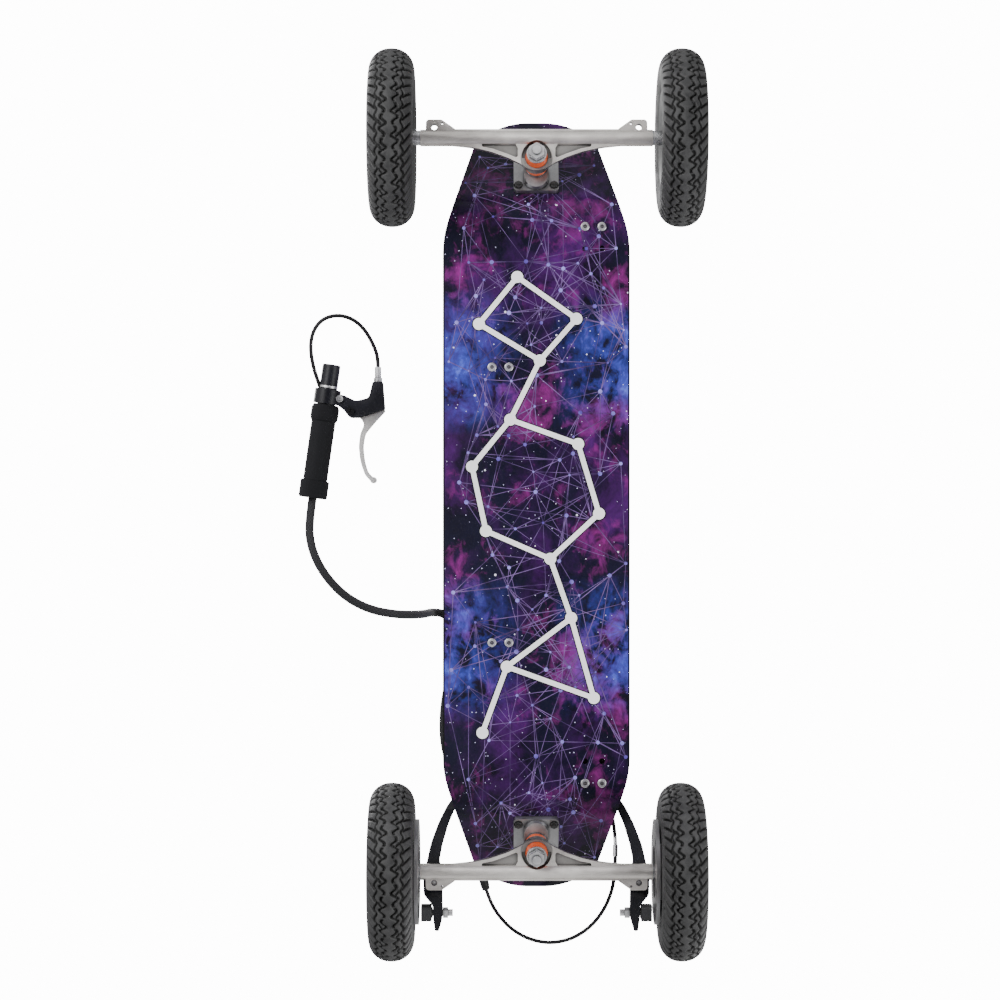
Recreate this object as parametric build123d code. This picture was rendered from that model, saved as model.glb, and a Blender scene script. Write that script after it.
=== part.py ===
from build123d import *
import math
import os

# An all-terrain mountainboard with a cable hand brake, standing on its wheels.
# +X is forward (nose), +Y is left, +Z is up. The origin is on the ground, midway between the axles.
# A truck is drawn once, at its own axle: +x points inboard, to the middle of the board.

os.makedirs("parts", exist_ok=True)
upright = (Align.CENTER, Align.CENTER, Align.MIN)  # stands on its work plane

# ---------------------------------------------------------------- overall sizes
wheelbase = 840.0
track = 331.0
tyre_dia = 203.0
tyre_width = 52.0
deck_length = 900.0
deck_width = 215.0
deck_thick = 12.0
axle_z = tyre_dia / 2
play = 0.05  # radial clearance of a running fit
gap = 0.3  # clearance between parts that only lie beside each other

# ---------------------------------------------------------------- deck
deck_under = 12.0  # platform underside above the axle line
kick_angle = 35.0
kick_from_axle = 81.0  # corner of platform and kick, inboard of the axle
kick_bend_r = 45.0
taper_from_axle = 112.0
tail_half_width = 69.0
tail_corner_back = 10.0
tip_half_width = 28.0
grip_thick = 0.8
grip_inset = 4.0

# ---------------------------------------------------------------- truck
plate_len = 80.0
plate_wide = 52.0
plate_thick = 6.0
plate_from_kick = 24.5
bolt_across = 41.3
bolt_along = 54.0
bolt_from_edge = 8.0
truck_bolt_r = 2.4
truck_bolt_clear = 0.35
ring_s, ring_up = 23.7, 2.0  # kingpin ring centre, inboard of and above the axle
pivot_s, pivot_up = 0.0, 37.0  # pivot tip, inboard of and above the axle
kingpin_lean = 14.0
kingpin_r = 5.0
ring_r = 16.0
ring_half = 6.0
seat_depth = 1.5
bushing_r = 13.0
board_bushing_h = 15.0
road_bushing_h = 11.0
washer_h = 2.5
pivot_r = 5.5
cup_wall = 3.5
cup_len = 12.0
hanger_half = 133.0
hanger_tube_r = 9.5
web_half = 6.0
axle_r = 6.0
ear_y = 117.0
ear_back = 12.0
ear_hole_r = 3.5
ear_half = 6.0
ear_boss_r, ear_boss_up = 8.0, 8.2  # raised seat round the stud, above the axle line
spring_hole_r = 1.25

# ---------------------------------------------------------------- wheel
bead_r = 48.0
flange_r = 55.0
rim_half = 19.0
rim_thick = 4.0
tyre_wall = 5.7
valve_y = 8.7
valve_r = 3.0
hub_half = 18.0
hub_boss_r = 19.0
hub_web = 5.0
bearing_r, bearing_w = 14.0, 8.0
hub_bolt_ring = 25.0
hub_bolt_head_r = 4.5
hub_bolt_r = 3.0
spokes = 5
nut_h = 6.0

# ---------------------------------------------------------------- brake
rotor_r = 60.0
rotor_thick = 4.0
rotor_in = 134.5  # inner face of the rotor from the centreline
hat_r = 32.0
pad_gap = 2.0
pad_size = (18.0, 12.0, 24.0)
pad_back = 49.0
pad_up = 14.5
stud_r = 5.0
arm_low, arm_high = 10.0, 24.0  # arm boss, above the axle line
anchor_s, anchor_up = 84.0, 68.0
lug_y, lug_thick = 67.5, 7.0  # upright at the arm tip that holds the noodle or the wire
noodle_r = 2.2
wire_r = 0.8

# ---------------------------------------------------------------- hand lever
handle_foot = (7.8, -250.3)
handle_turn = 8.2
handle_len = 150.0
handle_r = 10.0
handle_bore = 8.0
collar_r = 16.0
collar_len = 20.0
grip_r = 13.5
grip_end = 86.0
flange_end = 105.0
grip_flange_r = 15.5
clamp_from, clamp_to = 106.0, 122.0
clamp_r = 14.5
handle_z = collar_r
bracket_half = 8.0
lever_half = 5.0
lever_pivot = (104.6, -207.5)
lever_pin_r = 2.5
clamp_screw = (117.9, -219.7)
screw_head_r = 4.0
adjuster_y = -177.5
adjuster_x = 136.8

# ---------------------------------------------------------------- cords
cable_r = 2.25
sleeve_r = 4.75
lever_cable_points = [
    (153.6, -177.5, 16.0),
    (164.5, -177.5, 16.0),
    (179.0, -182.8, 13.0),
    (194.5, -191.5, 10.0),
    (206.4, -204.5, 7.5),
    (211.0, -221.2, 5.5),
    (206.8, -238.0, 5.5),
    (194.5, -248.6, 7.0),
    (177.3, -252.6, 9.5),
    (155.6, -250.0, 13.0),
    (134.5, -243.2, 15.0),
    (119.0, -237.2, 16.0),
]
sleeve_points = [
    (7.7, -250.3, 16.0),
    (-13.0, -253.28, 16.0),
    (-36.0, -253.8, 12.5),
    (-60.0, -246.5, 7.5),
    (-83.0, -232.0, 5.5),
    (-103.0, -211.5, 5.3),
    (-116.0, -186.0, 6.5),
    (-121.5, -159.0, 15.0),
    (-123.0, -140.0, 36.0),
    (-123.5, -129.5, 66.0),
    (-124.0, -124.5, 98.0),
    (-124.0, -122.0, 127.0),
    (-125.5, -107.5, 144.5),
    (-138.0, -94.5, 152.5),
    (-160.0, -90.5, 153.0),
    (-188.0, -97.0, 146.0),
    (-220.0, -105.0, 136.5),
    (-258.0, -108.3, 132.2),
    (-290.0, -104.0, 132.2),
    (-316.0, -93.0, 133.2),
    (-337.0, -82.5, 137.2),
    (-362.0, -75.0, 153.2),
    (-388.0, -71.0, 171.5),
    (-412.0, -67.5, 188.5),
    (-435.0, -64.0, 206.0),
    (-456.0, -58.4, 212.5),
]
brake_cable_points = [
    (-456.2, -58.34, 212.56),
    (-470.5, -54.05, 217.05),
    (-486.5, -44.5, 212.0),
    (-501.5, -29.0, 200.0),
    (-511.5, -8.0, 186.0),
    (-514.0, 16.0, 172.0),
    (-507.5, 40.5, 160.0),
    (-492.5, 62.5, 151.0),
    (-471.5, 78.5, 144.5),
    (-448.5, 88.0, 140.0),
    (-426.0, 91.52, 139.35),
    (-408.3, 91.99, 143.43),
]

# ---------------------------------------------------------------- bindings
front_anchors = [(319.9, 65.7), (158.4, -41.3)]
anchor_bolt_gap = 19.5
spare_hole_from = 25.3
binding_bolt_r = 3.0
bolt_head_r, bolt_head_h = 5.4, 2.6
binding_plate = (28.0, 46.0, 3.5)
plate_inboard = 7.0  # plate centre, towards the board's middle from the bolts
tab_from_bolts = 12.8
tab_size = (3.0, 34.0, 34.0)
strap_wide = 64.0
strap_thick = 10.0
strap_high = 88.0
foot_pad = (90.0, 168.0, 6.0)

a_kick = math.radians(kick_angle)
a_king = math.radians(kingpin_lean)
deck_z = axle_z + deck_under
deck_top = deck_z + deck_thick
half_base = wheelbase / 2
half_track = track / 2

# Planes of the truck, in its own frame.
kick_corner = Vector(kick_from_axle, 0, deck_z)
kick_dir = Vector(-math.cos(a_kick), 0, math.sin(a_kick))
kick_down = Vector(-math.sin(a_kick), 0, -math.cos(a_kick))
mount_plane = Plane(kick_corner + kick_dir * plate_from_kick, x_dir=kick_dir, z_dir=kick_down)
ring_centre = Vector(ring_s, 0, axle_z + ring_up)
pivot_tip = Vector(pivot_s, 0, axle_z + pivot_up)
king_up = Vector(math.sin(a_king), 0, math.cos(a_king))
king_plane = Plane(ring_centre, x_dir=(math.cos(a_king), 0, -math.sin(a_king)), z_dir=king_up)
steer_dir = (pivot_tip - ring_centre).normalized()
steer_len = (pivot_tip - ring_centre).length
steer_plane = Plane(ring_centre, x_dir=(steer_dir.Z, 0, -steer_dir.X), z_dir=steer_dir)

# Stations up the kingpin, from the ring's centre.
seat = ring_half - seat_depth
boss_face = seat + board_bushing_h + washer_h
head_from = boss_face + 9
road_washer_at = -seat - road_bushing_h - washer_h


def rod(plane, r, start, end, bore=0.0):
    """A round bar along a plane's normal, between two stations."""
    bar = Pos(0, 0, start) * Cylinder(r, end - start, align=upright)
    if bore:
        bar -= Pos(0, 0, start - 1) * Cylinder(bore, end - start + 2, align=upright)
    return plane.location * bar


def hexagon(plane, across, start, end, bore=0.0):
    """A hexagonal bar along a plane's normal."""
    bar = extrude(RegularPolygon(across / 2, 6, major_radius=False), end - start)
    bar = Pos(0, 0, start) * bar
    if bore:
        bar -= Pos(0, 0, start - 1) * Cylinder(bore, end - start + 2, align=upright)
    return plane.location * bar


def along_y(s, z):
    """A plane whose normal is +Y, at a place in the side view."""
    return Plane((s, 0, z), x_dir=(1, 0, 0), z_dir=(0, 1, 0))


def along_z(x, y):
    return Plane((x, y, 0), x_dir=(1, 0, 0), z_dir=(0, 0, 1))


def flat(points, radii=None):
    """A flat face from corner points, with each corner's radius."""
    if radii is None:
        return make_face(Polyline(*points, close=True))
    return make_face(FilletPolyline(*points, radius=radii, close=True))


def side_prism(points, half, radii=None):
    """A side-view outline carried across the board."""
    return extrude(Plane.XZ * flat(points, radii), half, both=True)


def at_rear(shape):
    return Location((-half_base, 0, 0)) * shape


def at_front(shape):
    return Location((half_base, 0, 0)) * Rotation(0, 0, 180) * shape


def mirrored(shape):
    return mirror(shape, about=Plane.XZ)


def save(shapes, name):
    """Write one node: a single solid, or a group of separate ones."""
    shapes = shapes if isinstance(shapes, list) else [shapes]
    solids = [s for shape in shapes for s in shape.solids()]
    export_step(solids[0] if len(solids) == 1 else Compound(children=solids), f"parts/{name}.step")


# ---------------------------------------------------------------- deck and grip
def slab_corner(offset):
    """Side-view corner and tip of the deck, at an offset above its underside."""
    tip_s = kick_from_axle - (kick_from_axle + (deck_length - wheelbase) / 2)
    run = (kick_from_axle - tip_s) / math.cos(a_kick)
    tip = kick_corner + kick_dir * run - kick_down * offset
    return (kick_from_axle + offset * math.tan(a_kick / 2), deck_z + offset), (tip.X, tip.Z)


def slab_side(low, high):
    """Closed side outline of a layer of the deck, with its radii."""
    (c0, z0), (t0, y0) = slab_corner(low)
    (c1, z1), (t1, y1) = slab_corner(high)
    r0, r1 = kick_bend_r + deck_thick / 2 - low, kick_bend_r + deck_thick / 2 - high
    left = [(t0 - half_base, y0), (c0 - half_base, z0)]
    right = [(half_base - c0, z0), (half_base - t0, y0)]
    back = [(half_base - t1, y1), (half_base - c1, z1), (c1 - half_base, z1), (t1 - half_base, y1)]
    return left + right + back, [0, r0, r0, 0, 0, r1, r1, 0]


def deck_plan():
    """The deck's outline from above: a straight waist, tapers, and shallow round ends."""
    tip = half_base + (deck_length - wheelbase) / 2
    half = [
        (half_base - taper_from_axle, deck_width / 2),
        (half_base + tail_corner_back, tail_half_width),
        (tip, tip_half_width),
    ]
    radii = [120, 20, 80]
    back = [(x, -y) for x, y in reversed(half)]
    right = half + back
    left = [(-x, -y) for x, y in right]
    all_radii = radii + radii[::-1]
    return flat(right + left, all_radii + all_radii)


def deck_layer(low, high, inset=0.0):
    points, radii = slab_side(low, high)
    side = side_prism(points, deck_width, radii)
    plan = deck_plan()
    if inset:
        plan = offset(plan, amount=-inset)
    return side & extrude(plan, 2 * tyre_dia)


def binding_anchors():
    """The four anchor places of the two bindings; the rear pair mirrors the front."""
    return front_anchors + [(-x, y) for x, y in front_anchors]


def binding_holes():
    """Bolt centres: a pair across the board at each anchor."""
    return [(x, y + side * anchor_bolt_gap / 2) for x, y in binding_anchors() for side in (-1, 1)]


def spare_holes():
    """Empty pairs beside the outer anchors, for a second stance."""
    outer = [p for p in binding_anchors() if p[1] > 0]
    return [
        (x - math.copysign(spare_hole_from, x), y + side * anchor_bolt_gap / 2)
        for x, y in outer
        for side in (-1, 1)
    ]


def truck_bolt_places():
    """Bolt centres on the mounting plane."""
    return [
        (u, v)
        for u in (bolt_from_edge, bolt_from_edge + bolt_along)
        for v in (-bolt_across / 2, bolt_across / 2)
    ]


def bolt_plane(u, v):
    return Plane(mount_plane.from_local_coords((u, v, 0)), x_dir=mount_plane.x_dir, z_dir=mount_plane.z_dir)


def deck_holes(r_truck, r_binding, spare=True):
    cuts = []
    for u, v in truck_bolt_places():
        hole = rod(bolt_plane(u, v), r_truck, -60, 20)
        cuts += [at_front(hole), at_rear(hole)]
    for x, y in binding_holes() + (spare_holes() if spare else []):
        cuts.append(rod(along_z(x, y), r_binding, deck_z - 10, deck_top + 10))
    return cuts


deck = deck_layer(0, deck_thick)
deck -= deck_holes(truck_bolt_r + truck_bolt_clear, binding_bolt_r + truck_bolt_clear)
save(deck, "deck")

grip = deck_layer(deck_thick, deck_thick + grip_thick, grip_inset)
grip -= deck_holes(6.0, 7.0)
save(grip, "grip_tape")


# ---------------------------------------------------------------- truck pieces on the deck
def baseplate():
    """Mounting plate with the kingpin boss and the pivot socket."""
    plate = mount_plane.location * Box(
        plate_len, plate_wide, plate_thick, align=(Align.MIN, Align.CENTER, Align.MIN)
    )
    plate = fillet(plate.edges().filter_by(Axis((0, 0, 0), tuple(kick_down))), 5)
    king_u = (ring_centre - mount_plane.origin).dot(kick_dir) + boss_face * king_up.dot(kick_dir)
    slot = Pos(bushing_r + 2, 0) * Circle(bushing_r + 1) + Pos(king_u, 0) * Circle(bushing_r + 1)
    slot += Pos((king_u + bushing_r + 2) / 2, 0) * Rectangle(king_u - bushing_r - 2, 2 * bushing_r + 2)
    boss = mount_plane.location * extrude(slot, 60)
    boss &= king_plane.location * Pos(0, 0, boss_face) * Box(300, 300, 200, align=upright)
    mouth = steer_len - cup_len + 2
    socket = rod(steer_plane, pivot_r + cup_wall + 3.5, mouth, steer_len + 5)
    rib = mount_plane.location * Pos(46, 0, 0) * Box(30, 18, 26, align=(Align.MIN, Align.CENTER, Align.MIN))
    rib &= steer_plane.location * Pos(0, 0, mouth) * Box(300, 300, 200, align=upright)
    body = plate + boss + socket + rib
    body &= mount_plane.location * Box(300, 200, 100, align=upright)
    body -= rod(king_plane, kingpin_r + play, 0, 80)
    body -= rod(king_plane, 10.0, head_from, 90)
    body -= rod(steer_plane, pivot_r + cup_wall, mouth - 1, steer_len + 1.5)
    for u, v in truck_bolt_places():
        body -= rod(bolt_plane(u, v), truck_bolt_r + truck_bolt_clear, -5, 60)
        body -= rod(bolt_plane(u, v), 5.2, plate_thick - 1.5, 60)
    return body


def pivot_cup():
    """Urethane cup that the hanger's pivot pin turns in."""
    mouth = steer_len - cup_len + 2
    cup = rod(steer_plane, pivot_r + cup_wall - 0.02, mouth, steer_len + 1.5)
    return cup - rod(steer_plane, pivot_r + play, mouth - 1, steer_len + 0.1)


def kingpin():
    pin = rod(king_plane, kingpin_r, road_washer_at - 12, head_from)
    pin += hexagon(king_plane, 16, head_from, head_from + 6.5)
    washers = rod(king_plane, bushing_r + 0.5, boss_face - washer_h, boss_face, kingpin_r + play)
    washers_low = rod(king_plane, 11.5, road_washer_at, road_washer_at + washer_h, kingpin_r + play)
    nut = hexagon(king_plane, 17, road_washer_at - 9, road_washer_at, kingpin_r + play)
    return [pin, washers, washers_low, nut]


def bushings():
    board = rod(king_plane, bushing_r, seat, seat + board_bushing_h, kingpin_r + play)
    road = king_plane.location * Pos(0, 0, -seat - road_bushing_h / 2) * Cone(11.2, bushing_r, road_bushing_h)
    road -= rod(king_plane, kingpin_r + play, -seat - road_bushing_h - 1, -seat + 1)
    return [board, road]


def truck_bolts():
    """Each bolt goes down through grip, deck and plate, with its nut below."""
    head = deck_thick + grip_thick
    bolts = []
    for u, v in truck_bolt_places():
        p = bolt_plane(u, v)
        bolt = rod(p, truck_bolt_r, -deck_thick, plate_thick + 4.5)
        bolt += rod(p, 4.6, -deck_thick - 2.6, -deck_thick)
        bolts += [bolt, hexagon(p, 8, plate_thick - 1.5, plate_thick + 2.8, truck_bolt_r + 0.02)]
    return bolts


base = baseplate()
save(at_front(base), "front_baseplate")
save(at_rear(base), "rear_baseplate")
cup = pivot_cup()
save([at_front(cup), at_rear(cup)], "pivot_cups")
pins = kingpin()
save([at_front(p) for p in pins] + [at_rear(p) for p in pins], "kingpin_sets")
soft = bushings()
save([at_front(p) for p in soft], "front_bushings")
save([at_rear(p) for p in soft], "rear_bushings")
bolts = truck_bolts()
save([at_front(p) for p in bolts] + [at_rear(p) for p in bolts], "truck_bolts")


# ---------------------------------------------------------------- hanger
def hanger_web():
    """The V-shaped casting from the axle line to the kingpin ring."""
    edge = [(hanger_tube_r - 1.5, 104), (11, 75), (16, 53), (22.5, 34), (29.5, 19.5), (ring_s + 13, 8)]
    edge_r = [0, 80, 60, 50, 20, 8]
    back = [(s, -y) for s, y in reversed(edge)]
    outer = [(-hanger_tube_r, -104), (-hanger_tube_r, 104)]
    web = extrude(flat(edge + back + outer, edge_r + edge_r[::-1] + [0, 0]), 2 * web_half)
    panel = flat([(8.2, 74), (3, 27), (12, 21.5), (23.5, 21.5), (18.5, 34), (12.8, 50)], [2, 3, 3, 2, 3, 3])
    cut = extrude(panel, web_half)
    for side in (cut, mirrored(cut)):
        web -= Pos(0, 0, web_half + 3) * side
        web -= Pos(0, 0, -3) * side
    return Pos(0, 0, axle_z - web_half) * web


def hanger_neck():
    """The web that rises from the axle line to the pivot pin."""
    start = steer_len - cup_len
    low = ring_centre + steer_dir * start
    across = Vector(steer_dir.Z, 0, -steer_dir.X)
    flank = pivot_r - 0.8
    a, b = low - across * flank, low + across * flank
    outline = [
        (-hanger_tube_r, axle_z),
        (-8, axle_z + 10),
        (a.X - 1.5, a.Z - 2),
        (a.X, a.Z),
        (b.X, b.Z),
        (b.X + 0.3, b.Z - 3),
        (10.5, axle_z + 13),
        (10, axle_z),
    ]
    return side_prism(outline, 7) + rod(steer_plane, pivot_r, start - 0.5, steer_len)


def ear():
    """Lug behind each end of the axle tube, bored for the brake stud."""
    outline = [(0, 92), (-9, 92), (-20.5, 108.5), (-20.5, 126.5), (0, 127)]
    lug = Pos(0, 0, axle_z - ear_half) * extrude(flat(outline, [0, 6, 4, 4, 0]), 2 * ear_half)
    return lug + rod(along_z(-ear_back, ear_y), ear_boss_r, axle_z - ear_half, axle_z + ear_boss_up)


def hanger():
    body = rod(along_y(0, axle_z), hanger_tube_r, -hanger_half, hanger_half)
    body += hanger_web()
    body += rod(king_plane, ring_r, -ring_half, ring_half)
    body += hanger_neck()
    body += ear()
    body += mirrored(ear())
    body -= rod(king_plane, kingpin_r + 3, -20, 20)
    body -= rod(king_plane, bushing_r + gap, seat, 40) & Box(200, 200, 400)
    cup = rod(king_plane, bushing_r + gap, -40, -seat)
    cup += rod(king_plane, ring_r + 1, -40, -ring_half + 1) & (
        Pos(ring_s, 0, 0) * Box(100, 100, 400, align=(Align.MAX, Align.CENTER, Align.CENTER))
    )
    body -= cup
    body -= rod(along_y(0, axle_z), axle_r, -200, 200)
    for y in (-ear_y, ear_y):
        body -= rod(along_z(-ear_back, y), ear_hole_r, axle_z - 20, axle_z + 20)
        body -= rod(along_z(-ear_back - 4, y - math.copysign(9, y)), spring_hole_r, axle_z - 20, axle_z + 20)
    return body


def axle():
    return rod(along_y(0, axle_z), axle_r, -half_track - hub_half - 8, half_track + hub_half + 8)


def axle_fittings():
    """Inner spacer, outer washer and lock nut at each end."""
    line = along_y(0, axle_z)
    face_in, face_out = half_track - hub_half, half_track + hub_half
    one = [rod(line, 8.5, hanger_half, face_in - 0.1, axle_r + play)]
    one.append(rod(line, 9, face_out + 0.1, face_out + 1.1, axle_r + play))
    one.append(hexagon(line, 18, face_out + 1.1, face_out + 1.1 + nut_h, axle_r + play))
    return one + [mirrored(p) for p in one]


hang = hanger()
save(at_front(hang), "front_hanger")
save(at_rear(hang), "rear_hanger")
save(at_front(axle()), "front_axle")
save(at_rear(axle()), "rear_axle")
fittings = axle_fittings()
save([at_front(p) for p in fittings], "front_axle_nuts")
save([at_rear(p) for p in fittings], "rear_axle_nuts")


# ---------------------------------------------------------------- wheel, drawn at the origin, outboard +Y
def turned(points):
    """A round piece from its section: (radius, y) corners, turned about the axle."""
    face = make_face(Plane.XY * Polyline(*[(r, y) for r, y in points], close=True))
    return revolve(face, Axis.Y)


def tyre():
    """Pneumatic tyre, open at the rim."""
    r, half = tyre_dia / 2, tyre_width / 2
    mid = r - half - 0.5
    side = [
        (bead_r + 0.3, rim_half - 0.4),
        (flange_r + 0.8, rim_half - 0.2),
        (mid - 8, half - 1.6),
        (mid + 3, half),
        (mid + 13, half - 2.5),
        (r - 5.5, half - 10),
        (r - 1.2, half - 19),
        (r, 0),
    ]
    skin = Spline(*side[1:], tangents=[(0.9, 0.45), (0, -1)])
    middle = (bead_r + 0.3, 0)
    outline = Line(side[0], side[1]) + skin + Line(side[-1], middle) + Line(middle, side[0])
    half_tyre = revolve(make_face(outline), Axis.Y)
    body = half_tyre + mirror(half_tyre, about=Plane.XZ)
    hollow = make_face(Pos(mid, 0) * CenterArc((0, 0), half - tyre_wall, 0, 360))
    body -= revolve(hollow, Axis.Y)
    body -= turned([(bead_r - 5, -12.5), (mid - 8, -12.5), (mid - 8, 12.5), (bead_r - 5, 12.5)])
    return body


def valve_line(start, end, r):
    return Pos(0, valve_y, start) * Cylinder(r, end - start, align=upright)


def inner_tube():
    """Air tube inside the tyre, with its valve through the rim."""
    mid = tyre_dia / 2 - tyre_width / 2 - 0.5
    r = tyre_width / 2 - tyre_wall - gap
    ring = Torus(mid, r) - Torus(mid, r - 1.5)
    ring = Rotation(90, 0, 0) * ring
    return ring + valve_line(bead_r - 12, mid - r + 1, valve_r)


def window():
    """One opening between two spokes, through the web."""
    sector = flat([(24, -7), (24, 7), (40, 16), (40, -16)], [3, 3, 4, 4])
    return Rotation(-90, 0, 0) * extrude(sector, 30, both=True)


def hub_half_shell():
    """Outer half of the split rim: boss, web, barrel and bead flange."""
    section = [
        (10, 0),
        (bead_r, 0),
        (bead_r, rim_half),
        (flange_r, rim_half + 0.6),
        (flange_r, rim_half + 3),
        (flange_r - 3, rim_half + 4),
        (bead_r - rim_thick, rim_half),
        (bead_r - rim_thick, hub_web),
        (hub_boss_r, hub_web),
        (hub_boss_r, hub_half),
        (bearing_r, hub_half),
        (bearing_r, hub_half - bearing_w),
        (10, hub_half - bearing_w),
    ]
    shell = turned(section)
    for k in range(spokes):
        shell -= Rotation(0, k * 360 / spokes, 0) * window()
        shell -= Rotation(0, (k + 0.5) * 360 / spokes, 0) * rod(
            Plane((hub_bolt_ring, 0, 0), x_dir=(1, 0, 0), z_dir=(0, 1, 0)), hub_bolt_r + play, -30, 30
        )
    return shell


def hub():
    """Two bolted halves; the outer one is drilled for the valve."""
    outer = hub_half_shell()
    inner = mirror(outer, about=Plane.XZ)
    outer -= valve_line(bead_r - 14, bead_r + 10, valve_r + gap)
    return [outer, inner]


def wheel_hardware(inner_flange):
    """Bearings, their spacer, and the bolts and nuts that clamp the halves."""
    line = Plane((0, 0, 0), x_dir=(1, 0, 0), z_dir=(0, 1, 0))
    items = [
        rod(line, bearing_r, hub_half - bearing_w, hub_half, axle_r + play),
        rod(line, bearing_r, -hub_half, bearing_w - hub_half, axle_r + play),
        rod(line, 8.5, bearing_w - hub_half, hub_half - bearing_w, axle_r + 0.6),
    ]
    for k in range(spokes):
        p = Plane((hub_bolt_ring, 0, 0), x_dir=(1, 0, 0), z_dir=(0, 1, 0))
        turn = Rotation(0, (k + 0.5) * 360 / spokes, 0)
        bolt = rod(p, hub_bolt_r, -hub_web - inner_flange, hub_web + 7)
        bolt += rod(p, hub_bolt_head_r, -hub_web - inner_flange - 4, -hub_web - inner_flange)
        items.append(turn * bolt)
        items.append(turn * hexagon(p, 9, hub_web, hub_web + 5, hub_bolt_r + 0.02))
    return items


def rotor():
    """Hat-shaped brake rotor bolted to the wheel's inner web."""
    disc_in, disc_out = rotor_in - half_track, rotor_in - half_track + rotor_thick
    body = turned([
        (rotor_r, disc_in),
        (rotor_r, disc_out),
        (hat_r, disc_out),
        (hat_r, -hub_web),
        (hub_boss_r + 1, -hub_web),
        (hub_boss_r + 1, -hub_web - 3),
        (hat_r - 2, -hub_web - 3),
        (hat_r - 2, disc_in),
    ])
    for k in range(spokes):
        turn = Rotation(0, (k + 0.5) * 360 / spokes, 0)
        q = Plane((hub_bolt_ring, 0, 0), x_dir=(1, 0, 0), z_dir=(0, 1, 0))
        body -= turn * rod(q, hub_bolt_r + play, -60, 60)
        slot = flat([(38, -5), (50, -5), (50, 5), (38, 5)], [3, 3, 3, 3])
        body -= turn * Rotation(-90, 0, 0) * extrude(slot, 60, both=True)
    return body


def to_wheel(shape, side, place):
    """Carry a wheel's piece to its corner; side is +1 at the truck's own left."""
    shape = shape if side > 0 else mirrored(shape)
    return place(Pos(0, side * half_track, axle_z) * shape)


corners = [
    ("front_right", 1, at_front),
    ("front_left", -1, at_front),
    ("rear_left", 1, at_rear),
    ("rear_right", -1, at_rear),
]
wheel_tyre, wheel_tube, wheel_hub = tyre(), inner_tube(), hub()
plain_hardware, rotor_hardware = wheel_hardware(0), wheel_hardware(3)
for name, side, place in corners:
    hardware = rotor_hardware if name.startswith("rear") else plain_hardware
    save(to_wheel(wheel_tyre, side, place), f"{name}_tyre")
    save(to_wheel(wheel_tube, side, place), f"{name}_inner_tube")
    save([to_wheel(h, side, place) for h in wheel_hub], f"{name}_hub")
    save([to_wheel(h, side, place) for h in hardware], f"{name}_wheel_hardware")
brake_rotor = rotor()
save(to_wheel(brake_rotor, 1, at_rear), "left_rotor")
save(to_wheel(brake_rotor, -1, at_rear), "right_rotor")


# ---------------------------------------------------------------- brake, drawn for the left side
def arm():
    """Brake arm: a plan outline carried up, cut to the side outline."""
    outer = [
        (-69, 116.5), (-55, 118.5), (-40, 118.8), (-27, 129.5), (-6, 130), (6, 126.8),
        (28, 122), (50, 113.5), (70, 103), (84, 91.5), (91, 81), (91, 66),
    ]
    inner = [
        (77, 66), (77, 78), (70, 92.5), (50, 101.5), (28, 108), (10, 111.5),
        (0, 108.5), (-20, 108), (-45, 107.7), (-56, 108.2), (-69, 112),
    ]
    radii = [2, 20, 8, 8, 8, 20, 60, 60, 60, 12, 5, 2, 2, 6, 20, 60, 40, 10, 10, 30, 20, 20, 2]
    plan = Pos(0, 0, axle_z) * extrude(flat(outer + inner, radii), 90)
    low = [(-80, 6), (-30, 5.5), (-23, arm_low), (6, arm_low), (40, 27), (66, 48), (84, 55), (110, 55)]
    high = [
        (110, 62.5), (80, 62.5), (62, 59), (36, 41), (8, arm_high), (-28, arm_high),
        (-34, arm_high), (-62, 24), (-80, 18),
    ]
    side = side_prism([(s, axle_z + z) for s, z in low + high], 200)
    body = plan & side
    lug_low, lug_high = axle_z + 57, axle_z + anchor_up + 6
    lug = Pos(anchor_s, lug_y, (lug_low + lug_high) / 2) * Box(13, lug_thick, lug_high - lug_low)
    body += lug
    body -= rod(along_z(-ear_back, ear_y), stud_r + play, axle_z, axle_z + 40)
    body -= rod(along_y(-pad_back, axle_z + pad_up), 4.1, 90, 140)
    body -= rod(along_y(anchor_s, axle_z + anchor_up), noodle_r + 0.02, 40, 90)
    return body


def brake_stud():
    """Stud in the ear, with the washer and cap that hold the arm."""
    p = along_z(-ear_back, ear_y)
    seat_z = axle_z + ear_boss_up
    stud = rod(p, ear_hole_r - 0.02, axle_z - 1, seat_z)
    stud += rod(p, 7, seat_z, axle_z + arm_low - gap)
    stud += rod(p, stud_r, axle_z + arm_low - gap, axle_z + arm_high + gap)
    stud += rod(p, 7, axle_z + arm_high + gap, axle_z + arm_high + 3.5)
    return stud


def pad_face():
    return rotor_in - pad_gap


def brake_pad():
    s, y, z = pad_size
    block = Pos(-pad_back, pad_face() - y / 2, axle_z + pad_up) * Box(s, y, z)
    return fillet(block.edges().filter_by(Axis.Y), 4)


def pad_hardware():
    """Threaded post, the spacer in front of the arm and the nut behind it."""
    p = along_y(-pad_back, axle_z + pad_up)
    back = pad_face() - pad_size[1]
    post = rod(p, 4.0, 96, back)
    spacer = rod(p, 6.3, 119.3, back, 4.02)
    nut = hexagon(p, 11, 101.5, 107.4, 4.02)
    return [post, spacer, nut]


def noodle_points():
    up = axle_z
    return [
        (12, 92.0, up + 42.0),
        (26, 92.37, up + 45.27),
        (41, 91.5, up + 51.5),
        (55, 89.5, up + 57.5),
        (68, 86.5, up + 63.2),
        (78.5, 82.3, up + 66.8),
        (anchor_s, 75.5, up + anchor_up),
        (anchor_s, 61.0, up + anchor_up),
    ]


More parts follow.
